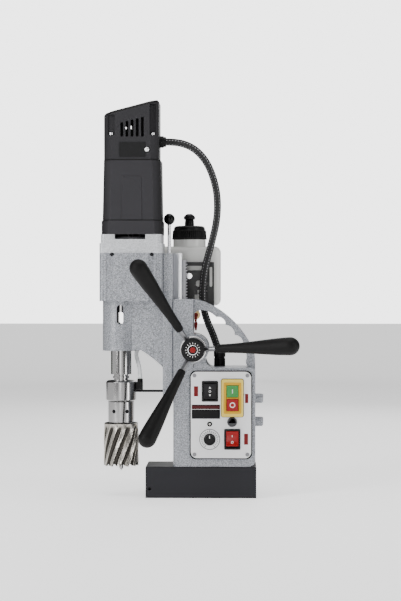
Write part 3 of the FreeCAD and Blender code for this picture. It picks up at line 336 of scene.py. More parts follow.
STRANDS, STRAND_WIND, HIGHLIGHT_LINES, HIGHLIGHT_DASH_PITCH, RIB_PITCH = 8, 2600, 5, 0.0045, 2.8 * MM
sleeve = Paint("braided_sleeve", (0.012, 0.012, 0.013), 0.5, Specular_IOR_Level=0.4)
u_v = sleeve.add("ShaderNodeSeparateXYZ", {}, {0: sleeve.add("ShaderNodeUVMap", {"uv_map": "along"})[0]})
around_it, along_it = u_v[0] * (math.tau * STRANDS), u_v[1] * STRAND_WIND
strand = (around_it + along_it).sine() * (around_it - along_it).sine()
weave = sleeve.between(-0.2, 0.9, strand)
# Painted highlight: a few light dashed lines along the sleeve, painted into its colour as glints.
highlight_line = sleeve.between(0.72, 1.0, (u_v[0] * (math.tau * HIGHLIGHT_LINES) + 0.6).sine())
glint = sleeve.between(-0.2, 0.5, (u_v[1] * (math.tau / HIGHLIGHT_DASH_PITCH)).sine()) * highlight_line
sleeve.bump(strand, 0.35 * MM, 0.8)
sleeve_material = sleeve.finish(Base_Color=sleeve.mix(weave * 0.04 + glint, (0.0018, 0.0018, 0.0020),
                                                      (0.30, 0.30, 0.31)), Roughness=0.62 - weave * 0.2)
conduit_line = route_line("conduit_route", CONDUIT_POINTS, 24)
conduit_fine = fine_line(conduit_line, 0.7 * MM)


def sleeve_rib(along):
    """Radius of the sleeve, which swells a little at each turn of the conduit under it."""
    return CONDUIT_THICK / 2 * (0.98 + 0.02 * math.sin(along * math.tau / RIB_PITCH))


conduit = tube_along("conduit_sleeve", conduit_fine, sleeve_rib, sleeve_material, around=24)
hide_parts("power_conduit")
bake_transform(conduit)
tuple(conduit_line[0])
[tuple(p) for p in conduit_line]

# Coolant hose: clear 6.5 mm tube from the elbow on the spindle's ring, round behind the spindle housing and
# the slide, to the tap under the tank. Pushed on to a barb at each end.
HOSE_THICK = 6.5 * MM
HOSE_POINTS = [(-95.5, 0, 181.0), (-95.5, 0, 193), (-99, 6.5, 206), (-103, 18.5, 217.5), (-101.5, 33, 226),
               (-93.5, 45, 227.5), (-80, 52.5, 223), (-64.5, 55.5, 219.5), (-51, 58, 227),
               (-41, 60.5, 241), (-31.5, 62, 256.5), (-21.3, 62, 267.7)]
clear = Paint("clear_hose", (0.78, 0.80, 0.80), 0.12, Alpha=0.55, Coat_Weight=0.4, IOR=1.42)
milky = clear.between(0.35, 0.7, clear.noise(120.0))
clear_material = clear.finish(Base_Color=clear.mix(milky, (0.70, 0.73, 0.74), (0.86, 0.88, 0.88)),
                              Roughness=0.1 + milky * 0.1)
hose_line = route_line("hose_route", HOSE_POINTS, 16)
hose = tube_along("hose_tube", fine_line(hose_line, 1.5 * MM), HOSE_THICK / 2, clear_material, around=20)
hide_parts("coolant_hose")
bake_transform(hose)
tuple(hose_line[0])
[tuple(p) for p in hose_line]

# ------------------------
# Magnet foot: a machined steel block under blue-black enamel, with a tapped hole at the cutter's end. The
# coil lies in a ring groove in the underside, sealed flush with black resin.
BEVEL_FROM = 32.0  # degrees: flatter edges stay as they are


def dress(node, material, bevel=0.0):
    """Gives a CAD part its finish and, where bevel is set, rounds its edges by that many millimetres."""
    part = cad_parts[node]
    part.data.materials.clear()
    part.data.materials.append(material)
    if bevel:
        weld = part.modifiers.new("weld", "WELD")
        weld.merge_threshold = 0.002 * MM
        flat = part.modifiers.new("flat", "DECIMATE")
        flat.decimate_type = "DISSOLVE"
        flat.angle_limit = math.radians(0.2)
        edge = part.modifiers.new("edge", "BEVEL")
        edge.width = bevel * MM
        edge.segments = 2
        edge.limit_method = "ANGLE"
        edge.angle_limit = math.radians(BEVEL_FROM)
        part.modifiers.new("shade", "WEIGHTED_NORMAL")
    return part


def enamel(name, color, rough=0.42, orange_peel=0.05):
    """Sprayed or moulded colour: faint change of tone, slight orange peel, worn duller in patches."""
    paint = Paint(name, color, rough, Specular_IOR_Level=0.22)
    cloud = paint.noise(18.0, 4.0)
    peel = paint.noise(900.0, 2.0)
    paint.bump(peel, orange_peel * MM)
    dark = tuple(c * 0.82 for c in color)
    light = tuple(min(1.0, c * 1.12) for c in color)
    return paint.finish(Base_Color=paint.mix(cloud, dark, light), Roughness=rough - 0.08 + cloud * 0.16)


magnet = enamel("magnet_enamel", (0.0085, 0.0085, 0.0115), 0.4)
resin_material = enamel("resin", (0.004, 0.004, 0.004), 0.3)
dress("magnet_housing", magnet, 0.6)
dress("magnet_coil", resin_material)

# ------------------------
# Castings: the stand with its handle, and the carriage with gearbox and spindle housing. Cast aluminium
# under silver-grey hammer paint, which dries in fine light and dark flecks.


def hammer_paint(name, low, high, glitter):
    paint = Paint(name, high, 0.42, 0.35, Coat_Weight=0.15)
    fleck = paint.between(0.36, 0.64, paint.noise(520.0, 3.0, rough=0.7))
    speck = paint.between(0.30, 0.62, paint.noise(1150.0, 2.0, rough=0.6))
    cloud = paint.noise(22.0, 3.0)
    tone = fleck * 0.55 + speck * 0.3 + cloud * 0.15
    paint.bump(fleck, 0.12 * MM, 0.5)
    shine = paint.mix(paint.between(0.62, 0.72, paint.noise(1600.0, 1.0)) * glitter,
                      paint.mix(tone, low, high), (0.88, 0.90, 0.94))
    return paint.finish(Base_Color=shine, Roughness=0.5 - fleck * 0.16)


hammer = hammer_paint("hammer_paint", (0.055, 0.06, 0.07), (0.35, 0.363, 0.392), 0.8)
light_material = hammer_paint("light_silver_paint", (0.30, 0.31, 0.33), (0.62, 0.63, 0.65), 0.5)
dress("stand_casting", hammer, 1.2)
dress("gearbox_casting", hammer, 1.0)
dress("gearbox_cover", light_material, 0.8)

# ------------------------
# Machined steel: the ground dovetail and rack, the spindle with its arbor and coolant ring, the feed shaft
# and rods, and the gears inside. Turned parts keep fine rings round their axis, ground ones fine lines.


def steel(name, color, rough, grain, depth=0.01):
    """Bare steel; grain is how fine the tool marks lie along x, y and z."""
    paint = Paint(name, color, rough, 1.0)
    marks = paint.noise(1.0, 3.0, at=paint.place(*grain))
    smear = paint.noise(35.0, 3.0)
    paint.bump(marks, depth * MM, 0.6)
    dark = tuple(c * 0.8 for c in color)
    return paint.finish(Base_Color=paint.mix(marks * 0.6 + smear * 0.4, dark, color),
                        Roughness=rough - 0.06 + marks * 0.08 + smear * 0.06)


ground = steel("ground_steel", (0.86, 0.86, 0.88), 0.34, (900, 900, 20))
turned_material = steel("turned_steel", (0.36, 0.355, 0.355), 0.12, (25, 25, 2600))
bright = steel("bright_plate", (0.86, 0.86, 0.88), 0.16, (300, 300, 300))
dark_steel = steel("dark_steel", (0.20, 0.20, 0.21), 0.3, (60, 60, 1800))
dress("dovetail_slide", ground, 0.4)
dress("feed_rack", dark_steel)
for name in ("spindle", "arbor", "coolant_ring", "bearing_flange"):
    dress(name, turned_material, 0.35)
for name in ("feed_shaft", "layshaft", "armature", "pilot_pin"):
    dress(name, turned_material)
dress("arm_rods", dark_steel)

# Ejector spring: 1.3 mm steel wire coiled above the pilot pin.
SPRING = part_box("pilot_spring")
SPRING_WIRE, SPRING_TURNS, PIN_TRAVEL, TURN_STEPS = 1.3 * MM, 9, 45 * MM, 24
spring_x, spring_y = (SPRING[0][0] + SPRING[1][0]) / 2, (SPRING[0][1] + SPRING[1][1]) / 2
spring_low, spring_high = SPRING[0][2] + SPRING_WIRE / 2, SPRING[1][2] - SPRING_WIRE / 2
coil_r = (SPRING[1][0] - SPRING[0][0] - SPRING_WIRE) / 2
coil = []
for k in range(SPRING_TURNS * TURN_STEPS + 1):
    a = math.tau * k / TURN_STEPS
    rise = (spring_high - spring_low) * k / (SPRING_TURNS * TURN_STEPS)
    coil.append(Vector((spring_x + coil_r * math.cos(a), spring_y + coil_r * math.sin(a), spring_low + rise)))
spring = tube_along("ejector_spring", coil, SPRING_WIRE / 2, turned_material, around=10)
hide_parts("pilot_spring")
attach(spring, "spindle")
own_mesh(spring)
for name in ("carriage_screws", "ball_bearings", "stand_screws"):
    dress(name, bright)
black_oxide = steel("black_oxide", (0.022, 0.022, 0.024), 0.38, (200, 200, 200))
for name in ("grub_screws", "ring_stop_rod"):
    dress(name, black_oxide)
dress("panel_screws", dark_steel)
brass = steel("brass", (0.72, 0.52, 0.25), 0.3, (500, 500, 60))
for name in ("gib_strip", "feed_bushes", "brush_holders", "coolant_valve"):
    dress(name, brass)
winding = steel("copper_and_iron", (0.45, 0.28, 0.18), 0.45, (60, 60, 900))
dress("stator", winding)

# ------------------------
# Annular cutter: ground high-speed steel, 54.6 mm over twelve helical teeth, with a smooth bore for the slug
# and a 19 mm shank held in the arbor by two grub screws.
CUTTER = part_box("annular_cutter")
CUTTER_AXIS = Vector(((CUTTER[0][0] + CUTTER[1][0]) / 2, (CUTTER[0][1] + CUTTER[1][1]) / 2, 0))
CUTTER_LOW, CUTTER_SHOULDER, CUTTER_THICK = CUTTER[0][2] / MM, 112.7, 27.25
CUTTER_BORE, CUTTER_TEETH, CUTTER_LEAD = 22.8, 12, 0.0152
SHANK_R, SHANK_TOP, PIN_HOLE_R, PIN_HOLE_LOW = 9.4, 141.0, 3.6, 106.0
MARGIN_FROM, LAND_FROM, FLUTE_DEPTH = 0.86, 0.5, 2.0  # where in a tooth's turn each begins; mm


def ring_surface(name, axis, rings, around, material):
    """Skin through rings of points; each ring is a function of the angle giving radius and height in mm."""
    points = []
    for ring in rings:
        for k in range(around):
            a = math.tau * k / around
            r, z = ring(a)
            points.append(axis + Vector((r * math.cos(a), r * math.sin(a), z)) * MM)
    return mesh_piece(name, points, skin(len(rings), around, closed=True), material)


def sharpen(piece, angle=35.0):
    """Keeps edges sharper than the angle crisp and the rest smooth."""
    mesh = bmesh.new()
    mesh.from_mesh(piece.data)
    bmesh.ops.recalc_face_normals(mesh, faces=mesh.faces)
    for edge in mesh.edges:
        edge.smooth = len(edge.link_faces) == 2 and edge.calc_face_angle() < math.radians(angle)
    mesh.to_mesh(piece.data)
    mesh.free()
    return piece


def tooth_phase(angle, height):
    """How far round its own tooth a point lies, from 0 to 1; the teeth wind up the cutter."""
    turn = (angle - CUTTER_LEAD * (height - CUTTER_LOW)) * CUTTER_TEETH / math.tau
    return turn - math.floor(turn)


def tooth_radius(phase):
    """Round-bottomed flute, then relieved land, then a narrow ground margin up to the next sharp edge."""
    if phase > MARGIN_FROM:
        return CUTTER_THICK - 0.15 * (1 - phase) / 0.14
    if phase > LAND_FROM:
        return CUTTER_THICK - 0.5 - 0.9 * (MARGIN_FROM - phase) / 0.36
    return CUTTER_THICK - 1.4 - FLUTE_DEPTH * math.sin(math.pi * phase / LAND_FROM) ** 0.7


def cutter_wall(height):
    """Ring of the outside; the flutes fade out under the shoulder."""
    fade = min(1.0, max(0.0, (CUTTER_SHOULDER - 3 - height) / 9))
    return lambda a: (tooth_radius(tooth_phase(a, height)) * fade + (CUTTER_THICK - 0.8) * (1 - fade), height)


def cutter_tip(radius, rise):
    """Ring of the cutting end, with a gullet before each edge."""
    def ring(a):
        phase = tooth_phase(a, CUTTER_LOW)
        gullet = 4.0 * math.sin(math.pi * phase / 0.55) ** 0.6 if phase < 0.55 else 1.6 * (1 - phase) / 0.45
        outer = min(radius, tooth_radius(phase))
        return outer, CUTTER_LOW + max(0.0, gullet) + rise
    return ring


hss = Paint("cutter_steel", (0.42, 0.39, 0.35), 0.24, 1.0)
scratch = hss.noise(1.0, 3.0, at=hss.place(700, 700, 160))
stain = hss.noise(60.0, 4.0)
hss.bump(scratch, 0.02 * MM, 0.5)
across = hss.add("ShaderNodeSeparateXYZ", {}, {0: hss.place()})
out_x, out_y = across[0] - CUTTER_AXIS.x, across[1] - CUTTER_AXIS.y
from_axis = (out_x * out_x + out_y * out_y) ** 0.5
land = hss.between((CUTTER_THICK - 2.2) * MM, (CUTTER_THICK - 0.3) * MM, from_axis)
hss_color = hss.mix(land * 0.92 + stain * 0.05 + scratch * 0.03, (0.014, 0.0125, 0.010), (0.50, 0.475, 0.43))
hss_material = hss.finish(Base_Color=hss_color, Roughness=0.2 + scratch * 0.14)
WALL_STEPS = 44
heights = [CUTTER_LOW + 5 + (CUTTER_SHOULDER - 1.2 - CUTTER_LOW - 5) * i / WALL_STEPS
           for i in range(WALL_STEPS + 1)]
rings = [cutter_tip(CUTTER_BORE, 1.2), cutter_tip(CUTTER_BORE + 2.2, 0.0), cutter_tip(CUTTER_THICK, 0.6)]
rings += [cutter_wall(h) for h in heights]
rings += [lambda a: (CUTTER_THICK - 2.0, CUTTER_SHOULDER), lambda a: (SHANK_R, CUTTER_SHOULDER),
          lambda a: (SHANK_R, SHANK_TOP), lambda a: (PIN_HOLE_R, SHANK_TOP),
          lambda a: (PIN_HOLE_R, PIN_HOLE_LOW), lambda a: (8.0, PIN_HOLE_LOW),
          lambda a: (CUTTER_BORE, 100.0), lambda a: (CUTTER_BORE, CUTTER_LOW + 8.0)]
cutter = sharpen(ring_surface("cutter_teeth", CUTTER_AXIS, rings, 360, hss_material), 30)
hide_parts("annular_cutter")
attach(cutter, "spindle")

# ------------------------
# Motor: housing and end cap moulded in dark grey glass-filled nylon with a fine spark texture, joined by
# four long screws; the fan behind the vents is the same plastic.


def moulded(name, color, rough=0.5, texture=0.06, dark_line=None):
    """Moulded plastic with a fine spark texture. dark_line gives, for a paint, where it is painted dark: its
    joints, and painted shade.
    """
    paint = Paint(name, color, rough, Specular_IOR_Level=0.16)
    spark = paint.noise(1500.0, 3.0, rough=0.7)
    cloud = paint.noise(14.0, 4.0)
    paint.bump(spark, texture * MM, 0.8)
    dark = tuple(c * 0.86 for c in color)
    light = tuple(c * 1.16 for c in color)
    tone = paint.mix(cloud * 0.7 + spark * 0.3, dark, light)
    if dark_line:
        tone = paint.mix(dark_line(paint), tone, (0.0015, 0.0015, 0.0016))  # a sum above 1 counts as 1
    return paint.finish(Base_Color=tone, Roughness=rough - 0.06 + cloud * 0.12)


# Where the motor's joints and edges lie, and where the painted shade towards its sides begins and ends, in
# metres.
MOTOR_MIDDLE, SHADE_FROM, SHADE_TO = 0.1065, 0.033, 0.047
BAND_STEP, HOUSING_TOP, CAP_JOINT, ROOF_SLOPE, ROOF_EDGE = 0.4262, 0.5178, 0.5196, 0.2607, 0.6252


def side_shade(paint):
    """Painted shade that deepens the colour towards the motor's two sides."""
    spot = paint.add("ShaderNodeSeparateXYZ", {}, {0: paint.place()})
    return paint.between(SHADE_FROM, SHADE_TO, (spot[0] + MOTOR_MIDDLE).size()) * 0.75


def housing_joints_and_shade(paint):
    """The step above the foot band and the joint under the end cap, painted dark as joints and as the shade
    under each step; and the painted shade towards the sides.
    """
    up = paint.height()
    return ((up - BAND_STEP).size() < 0.0007) + (up > HOUSING_TOP) + side_shade(paint)


def cap_edges_and_shade(paint):
    """The cap's joint, painted dark as a joint and as shade; the sloping roof with its rim, painted dark; and
    the painted shade towards the sides.
    """
    spot = paint.add("ShaderNodeSeparateXYZ", {}, {0: paint.place()})
    return (spot[2] - spot[0] * ROOF_SLOPE > ROOF_EDGE) + (spot[2] < CAP_JOINT) + side_shade(paint)


motor = moulded("motor_nylon", (0.017, 0.0165, 0.0185), 0.46)
black_material = moulded("black_nylon", (0.0035, 0.0035, 0.0038), 0.42)
gloss_black = moulded("black_phenolic", (0.002, 0.002, 0.0022), 0.12, 0.0)
dress("motor_housing", moulded("housing_nylon", (0.024, 0.0232, 0.0262), 0.46, dark_line=housing_joints_and_shade))
dress("motor_end_cap", moulded("cap_nylon", (0.021, 0.0204, 0.0228), 0.46, dark_line=cap_edges_and_shade), 0.7)
dress("cooling_fan", motor)
for name in ("motor_gland", "stand_gland", "mains_gland", "coolant_elbow"):
    dress(name, black_material, 0.5)


def plate(name, outline, y, thick, material, body, bevel=0.0, bend=None):
    """Flat piece on a vertical face: an outline of x, z points in mm, its front at y, thick mm deep.
    bend moves each point to where a dished or tilted face carries it."""
    mesh = bmesh.new()
    front = [mesh.verts.new(Vector((x, y, z)) * MM) for x, z in outline]
    face = mesh.faces.new(front)
    if face.normal.dot(Vector((0, -1, 0))) < 0:
        face.normal_flip()
    back = bmesh.ops.extrude_face_region(mesh, geom=[face])
    moved = [v for v in back["geom"] if isinstance(v, bmesh.types.BMVert)]
    bmesh.ops.translate(mesh, verts=moved, vec=(0, -thick * MM, 0))
    bmesh.ops.translate(mesh, verts=mesh.verts, vec=(0, thick * MM, 0))
    bmesh.ops.recalc_face_normals(mesh, faces=mesh.faces)
    if bevel:
        rim = [e for e in mesh.edges if all(v.co.y < (y + thick * 0.5) * MM for v in e.verts)]
        bmesh.ops.bevel(mesh, geom=rim, offset=bevel * MM, segments=2, affect="EDGES", profile=0.5)
    if bend:
        for vertex in mesh.verts:
            vertex.co = bend(vertex.co / MM) * MM
    data = bpy.data.meshes.new(name)
    mesh.to_mesh(data)
    mesh.free()
    piece = bpy.data.objects.new(name, data)
    bpy.context.collection.objects.link(piece)
    data.materials.append(material)
    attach(piece, body)
    return piece


def rectangle(x0, x1, z0, z1, r=0.0, steps=6):
    """Outline of a rectangle in mm, its corners rounded by r."""
    if not r:
        return [(x0, z0), (x1, z0), (x1, z1), (x0, z1)]
    points = []
    for cx, cz, first in ((x1 - r, z0 + r, -90), (x1 - r, z1 - r, 0), (x0 + r, z1 - r, 90),
                          (x0 + r, z0 + r, 180)):
        for k in range(steps + 1):
            a = math.radians(first + 90 * k / steps)
            points.append((cx + r * math.cos(a), cz + r * math.sin(a)))
    return points


def loop_plate(name, outer, inner, y, thick, material, body, bend=None):
    """Flat frame between two outlines with the same number of points, its front at y, thick mm deep."""
    count = len(outer)
    points = [Vector((x, depth, z)) for depth in (y, y + thick) for ring in (outer, inner) for x, z in ring]
    if bend:
        points = [bend(p) for p in points]
    faces = []
    for k in range(count):
        n = (k + 1) % count
        for a, b in ((0, 1), (1, 3), (3, 2), (2, 0)):
            faces.append((a * count + k, a * count + n, b * count + n, b * count + k))
    piece = mesh_piece(name, [p * MM for p in points], faces, material, smooth=False)
    sharpen(piece, 30)
    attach(piece, body)
    return piece


def circle(cx, cz, r, steps=40):
    turns = [math.tau * k / steps for k in range(steps)]
    return [(cx + r * math.cos(a), cz + r * math.sin(a)) for a in turns]


def middle(box, axis):
    """The middle of a box along an axis, in mm."""
    return (box[0][axis] + box[1][axis]) / 2 / MM


CAP_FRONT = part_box("motor_end_cap")[0][1] / MM
darker_nylon = moulded("recessed_nylon", (0.0075, 0.0075, 0.0080), 0.55)
plate("rating_recess", rectangle(-125.0, -84.7, 523.0, 545.6, 1.2), CAP_FRONT - 0.15, 0.6, darker_nylon,
      "carriage", 0.1)
loop_plate("rating_recess_rim", rectangle(-126.2, -83.5, 521.8, 546.8, 2.2),
           rectangle(-125.2, -84.5, 522.8, 545.8, 1.2), CAP_FRONT - 0.5, 1.0, motor,
           "carriage")


def lathe(name, root, way, profile, material, around=48, body=None, sharp=35.0):
    """Turned piece: profile gives distance along way and radius, in mm; the ends are closed."""
    way = Vector(way).normalized()
    side = way.orthogonal().normalized()
    up = way.cross(side)
    points = []
    for along, r in profile:
        for k in range(around):
            a = math.tau * k / around
            points.append((Vector(root) + way * along + (side * math.cos(a) + up * math.sin(a)) * r) * MM)
    piece = sharpen(mesh_piece(name, points, skin(len(profile), around), material), sharp)
    if body:
        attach(piece, body)
    return piece


TOWARDS_FRONT = (0, -1, 0)
RATING_SCREW = (-82.6, CAP_FRONT + 0.5, 534.3)
lathe("rating_screw_seat", RATING_SCREW, TOWARDS_FRONT, [(0, 5.0), (0.9, 5.0), (1.0, 4.7)],
      darker_nylon, body="carriage")
lathe("rating_screw", RATING_SCREW, TOWARDS_FRONT, [(0, 3.4), (1.9, 3.4), (2.6, 2.7), (2.9, 1.6)],
      bright, body="carriage")
# Painted shade: a near-black sheet just behind the vent slots stands in for the shade inside the end cap; it
# has one opening.
loop_plate("vent_shade_sheet", rectangle(-126, -85, 552, 584), rectangle(-117, -101, 566, 575.5),
           CAP_FRONT + 4.2, 0.8, moulded("vent_shade_black", (0.0006, 0.0006, 0.0006), 0.9),
           "carriage")
fan_shroud_line = [(8.0, 36.5), (9.0, 37.0), (11.8, 37.2), (12.0, 36.0), (12.0, 24.0)]
lathe("fan_shroud", (-107.0, 0, 388.5), (0, 0, 1), fan_shroud_line,
      moulded("shroud_nylon", (0.05, 0.05, 0.055)), body="carriage")

# ------------------------
# Gearbox details: two cheese-head screws in the notches under the cover, and the faint raised border that
# the casting pattern left on the front.
HEAD_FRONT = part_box("gearbox_casting")[0][1] / MM
for side, x in (("left", -136.0), ("right", -75.0)):
    lathe("cover_screw_" + side, (x, HEAD_FRONT + 3.2, 373.6), TOWARDS_FRONT,
          [(0, 2.9), (1.8, 2.9), (2.2, 2.5)], black_oxide, body="carriage")
loop_plate("casting_border", rectangle(-121.5, -87.5, 309, 364, 1.5),
           rectangle(-120.3, -88.7, 310.2, 362.8, 0.8), HEAD_FRONT - 0.35, 0.8, hammer,
           "carriage")

# ------------------------
# Lock of the spindle's swing: a chromed rod down into the slide, with a black phenolic ball screwed on top.
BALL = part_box("lock_lever")
ball_r = (BALL[1][0] - BALL[0][0]) / 2 / MM
ball_x, ball_top, rod_foot = middle(BALL, 0), BALL[1][2] / MM, BALL[0][2] / MM
chrome = steel("chromed_rod", (0.86, 0.86, 0.88), 0.08, (60, 60, 900))
LOCK_ROD_R, BALL_STEPS = 2.75, 26
lock_rod = lathe("lock_rod", (ball_x, 0, rod_foot), (0, 0, 1),
                 [(0, LOCK_ROD_R), (ball_top - rod_foot - ball_r * 1.6, LOCK_ROD_R)], chrome, 32)
ball_line = [(0.0, 3.4)]
for k in range(3, BALL_STEPS + 1):
    a = math.pi * k / BALL_STEPS
    ball_line.append((ball_r - ball_r * math.cos(a), max(3.3 if a < 0.6 else 0.02, ball_r * math.sin(a))))
lock_ball = lathe("lock_ball", (ball_x, 0, ball_top - 2 * ball_r), (0, 0, 1), ball_line, gloss_black)
for piece, finish in ((lock_rod, "machined_steel"), (lock_ball, "black_plastic")):
    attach(piece, "lock")
    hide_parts("lock_lever")

# ------------------------
# Feed hub: a black phenolic boss on the feed shaft with a groove near its rim, a scale of white marks, a
# bright ring and a red hexagon plug in the middle.
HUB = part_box("capstan_hub")
HUB_X, HUB_Z = middle(HUB, 0), middle(HUB, 2)
HUB_FRONT = HUB[0][1] / MM
phenolic = moulded("phenolic", (0.0032, 0.0032, 0.0035), 0.34, 0.02)
dress("capstan_hub", phenolic, 0.5)
white_material = moulded("white_mark", (0.82, 0.82, 0.80), 0.5, 0.02)
red_material = enamel("red_enamel", (0.19, 0.0022, 0.002), 0.32)
HUB_MARKS = 16
for k in range(HUB_MARKS):
    turn = math.tau * k / HUB_MARKS
    ends = [(HUB_X + math.cos(turn + da) * r, HUB_Z + math.sin(turn + da) * r)
            for r, da in ((9.2, -0.035), (11.3, -0.03), (11.3, 0.03), (9.2, 0.035))]
    plate("hub_mark_%02d" % k, ends, HUB_FRONT - 0.12, 0.3, white_material, "capstan")
lathe("hub_ring", (HUB_X, HUB_FRONT + 0.3, HUB_Z), TOWARDS_FRONT,
      [(0, 7.6), (0.7, 7.6), (0.8, 7.4), (0.8, 6.9), (0.4, 6.8)], bright, body="capstan")
plate("hub_well", circle(HUB_X, HUB_Z, 6.7), HUB_FRONT - 0.4, 0.3, phenolic,
      "capstan")
plate("hub_plug", circle(HUB_X, HUB_Z, 4.7, 6), HUB_FRONT - 0.6, 1.0, red_material,
      "capstan", 0.25)

# Three arms: a steel rod screwed into the hub, and a long grip moulded over it in soft black plastic, thin
# at the hub and swelling to a round end.
ARM_ROOT = Vector((HUB_X, HUB_FRONT + 22.5, HUB_Z))
ARM_TILT = math.radians(23.0)
GRIP_START, GRIP_SHOULDER, GRIP_END, GRIP_THIN, GRIP_THICK = 38.0, 158.0, 172.1, 6.5, 13.6
grip_paint = Paint("grip_plastic", (0.004, 0.004, 0.004), 0.45, Specular_IOR_Level=0.12)
pores = grip_paint.noise(1300.0, 3.0)
shine_patch = grip_paint.noise(26.0, 3.0)
grip_paint.bump(pores, 0.03 * MM, 0.7)
grip_color = grip_paint.mix(shine_patch, (0.0028, 0.0028, 0.0028), (0.0065, 0.0062, 0.0062))
grip_material = grip_paint.finish(Base_Color=grip_color, Roughness=0.42 + shine_patch * 0.12)
grip_line = [(GRIP_START, 5.2), (GRIP_START + 0.4, 5.8), (GRIP_START + 4.5, GRIP_THIN),
             (GRIP_START + 5.0, 6.1), (GRIP_START + 6.0, 6.1), (GRIP_START + 6.6, GRIP_THIN)]
SWELL_STEPS, END_STEPS = 24, 14
for k in range(1, SWELL_STEPS + 1):
    s = k / SWELL_STEPS
    swell = 0.35 * s + 0.65 * (1 - math.cos(math.pi * s ** 1.15)) / 2
    grip_line.append((GRIP_START + 7 + (GRIP_SHOULDER - GRIP_START - 7) * s,
                      GRIP_THIN + (GRIP_THICK - GRIP_THIN) * swell))
for k in range(1, END_STEPS + 1):
    a = math.pi / 2 * k / END_STEPS
    grip_line.append((GRIP_SHOULDER + (GRIP_END - GRIP_SHOULDER) * math.sin(a),
                      max(0.1, GRIP_THICK * math.cos(a))))
for k, angle in enumerate((2.9, 122.9, 242.9)):
    a = math.radians(angle)
    way = Vector((math.cos(a) * math.cos(ARM_TILT), -math.sin(ARM_TILT), math.sin(a) * math.cos(ARM_TILT)))
    grip = lathe("arm_grip_%d" % (k + 1), ARM_ROOT, way, grip_line, grip_material, body="capstan",
                 sharp=50.0)
    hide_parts("arm_grips")

# ------------------------
# Control panel: an anodised light grey plate over a black rubber gasket. Colour fields are screen printed,
# without any wording.
silver = Paint("panel_aluminium", (0.66, 0.66, 0.67), 0.38, 0.55)
brushed = silver.noise(1.0, 3.0, at=silver.place(1400, 60, 45))
haze = silver.noise(25.0)
silver.bump(brushed, 0.01 * MM, 0.5)
panel_material = silver.finish(Base_Color=silver.mix(brushed * 0.4 + haze * 0.6, (0.60, 0.60, 0.61),
                                                     (0.72, 0.72, 0.73)), Roughness=0.34 + brushed * 0.1)
rubber = moulded("gasket_rubber", (0.003, 0.003, 0.003), 0.65)
dress("control_panel", panel_material, 0.3)
dress("panel_gasket", rubber, 0.2)
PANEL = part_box("control_panel")
PANEL_FRONT = PANEL[0][1] / MM
px0, px1, pz0, pz1 = PANEL[0][0] / MM, PANEL[1][0] / MM, PANEL[0][2] / MM, PANEL[1][2] / MM
loop_plate("gasket_lip", rectangle(px0 - 1.3, px1 + 1.3, pz0 - 1.3, pz1 + 1.3, 9.5),
           rectangle(px0 + 0.3, px1 - 0.3, pz0 + 0.3, pz1 - 0.3, 8.0), PANEL_FRONT - 0.2, 2.0,
           rubber, "stand")
print_material = enamel("red_print", (0.13, 0.002, 0.003), 0.5)
black_print = enamel("black_print", (0.0012, 0.0012, 0.0014), 0.6)
dark_red_print = enamel("dark_red_print", (0.055, 0.003, 0.004), 0.5)
white_print = enamel("white_print", (0.80, 0.80, 0.78), 0.5)
FIELDS = (("danger_field_left", -10.6, -4.1, 156.2, 171.8, print_material),
          ("danger_field_right", 67.6, 72.7, 146.0, 160.2, print_material),
          ("danger_field_low", 66.1, 72.4, 82.2, 99.1, print_material),
          ("name_field", -13.9, 29.5, 121.8, 143.5, black_print))
for name, x0, x1, z0, z1, material in FIELDS:
    plate(name, rectangle(x0, x1, z0, z1, 0.5), PANEL_FRONT - 0.1, 0.2, material, "stand")
plate("name_field_stripe", rectangle(-13.4, 29.0, 137.2, 142.1, 0.3), PANEL_FRONT - 0.16, 0.2, dark_red_print,
      "stand")
plate("name_field_line", rectangle(-13.4, 29.0, 136.1, 136.6), PANEL_FRONT - 0.16, 0.2, white_print,
      "stand")

# ------------------------
# Two rocker switches snapped into the panel: the feed's in black with up, off and down marks, the magnet's
# in glossy red with on and off marks. Each rocks about a pin behind the panel.
rocker_black = moulded("rocker_black", (0.0032, 0.0032, 0.0034), 0.28, 0.01)
rocker_grey = moulded("rocker_grey", (0.010, 0.0098, 0.0108), 0.36, 0.01)
rocker_red = enamel("rocker_red", (0.24, 0.0012, 0.0018), 0.14, 0.0)
dress("rocker_frames", rocker_black, 0.7)
dress("feed_rocker", rocker_grey, 0.8)
dress("magnet_rocker", rocker_red, 0.8)
ROCKER_DISH, ROCKER_REACH, ROCKER_PIVOT = 40.0, 7.0, 40.0


def on_rocker(cx, cz, tilt):
    """Carries a flat mark on to the dished and tilted face of a rocker centred at cx, cz."""
    top = PANEL_FRONT - ROCKER_REACH - (ROCKER_DISH - 2.0)

    def bend(p):
        depth = p.y - PANEL_FRONT
        up = p.z - cz
        flat = Vector((p.x, top + math.sqrt(ROCKER_DISH ** 2 - up ** 2) + depth + ROCKER_PIVOT, up))
        turned = Matrix.Rotation(math.radians(tilt), 3, "X") @ flat
        return Vector((turned.x, turned.y - ROCKER_PIVOT, turned.z + cz))
    return bend


def stroke(cx, cz, w, h):
    return rectangle(cx - w / 2, cx + w / 2, cz - h / 2, cz + h / 2)


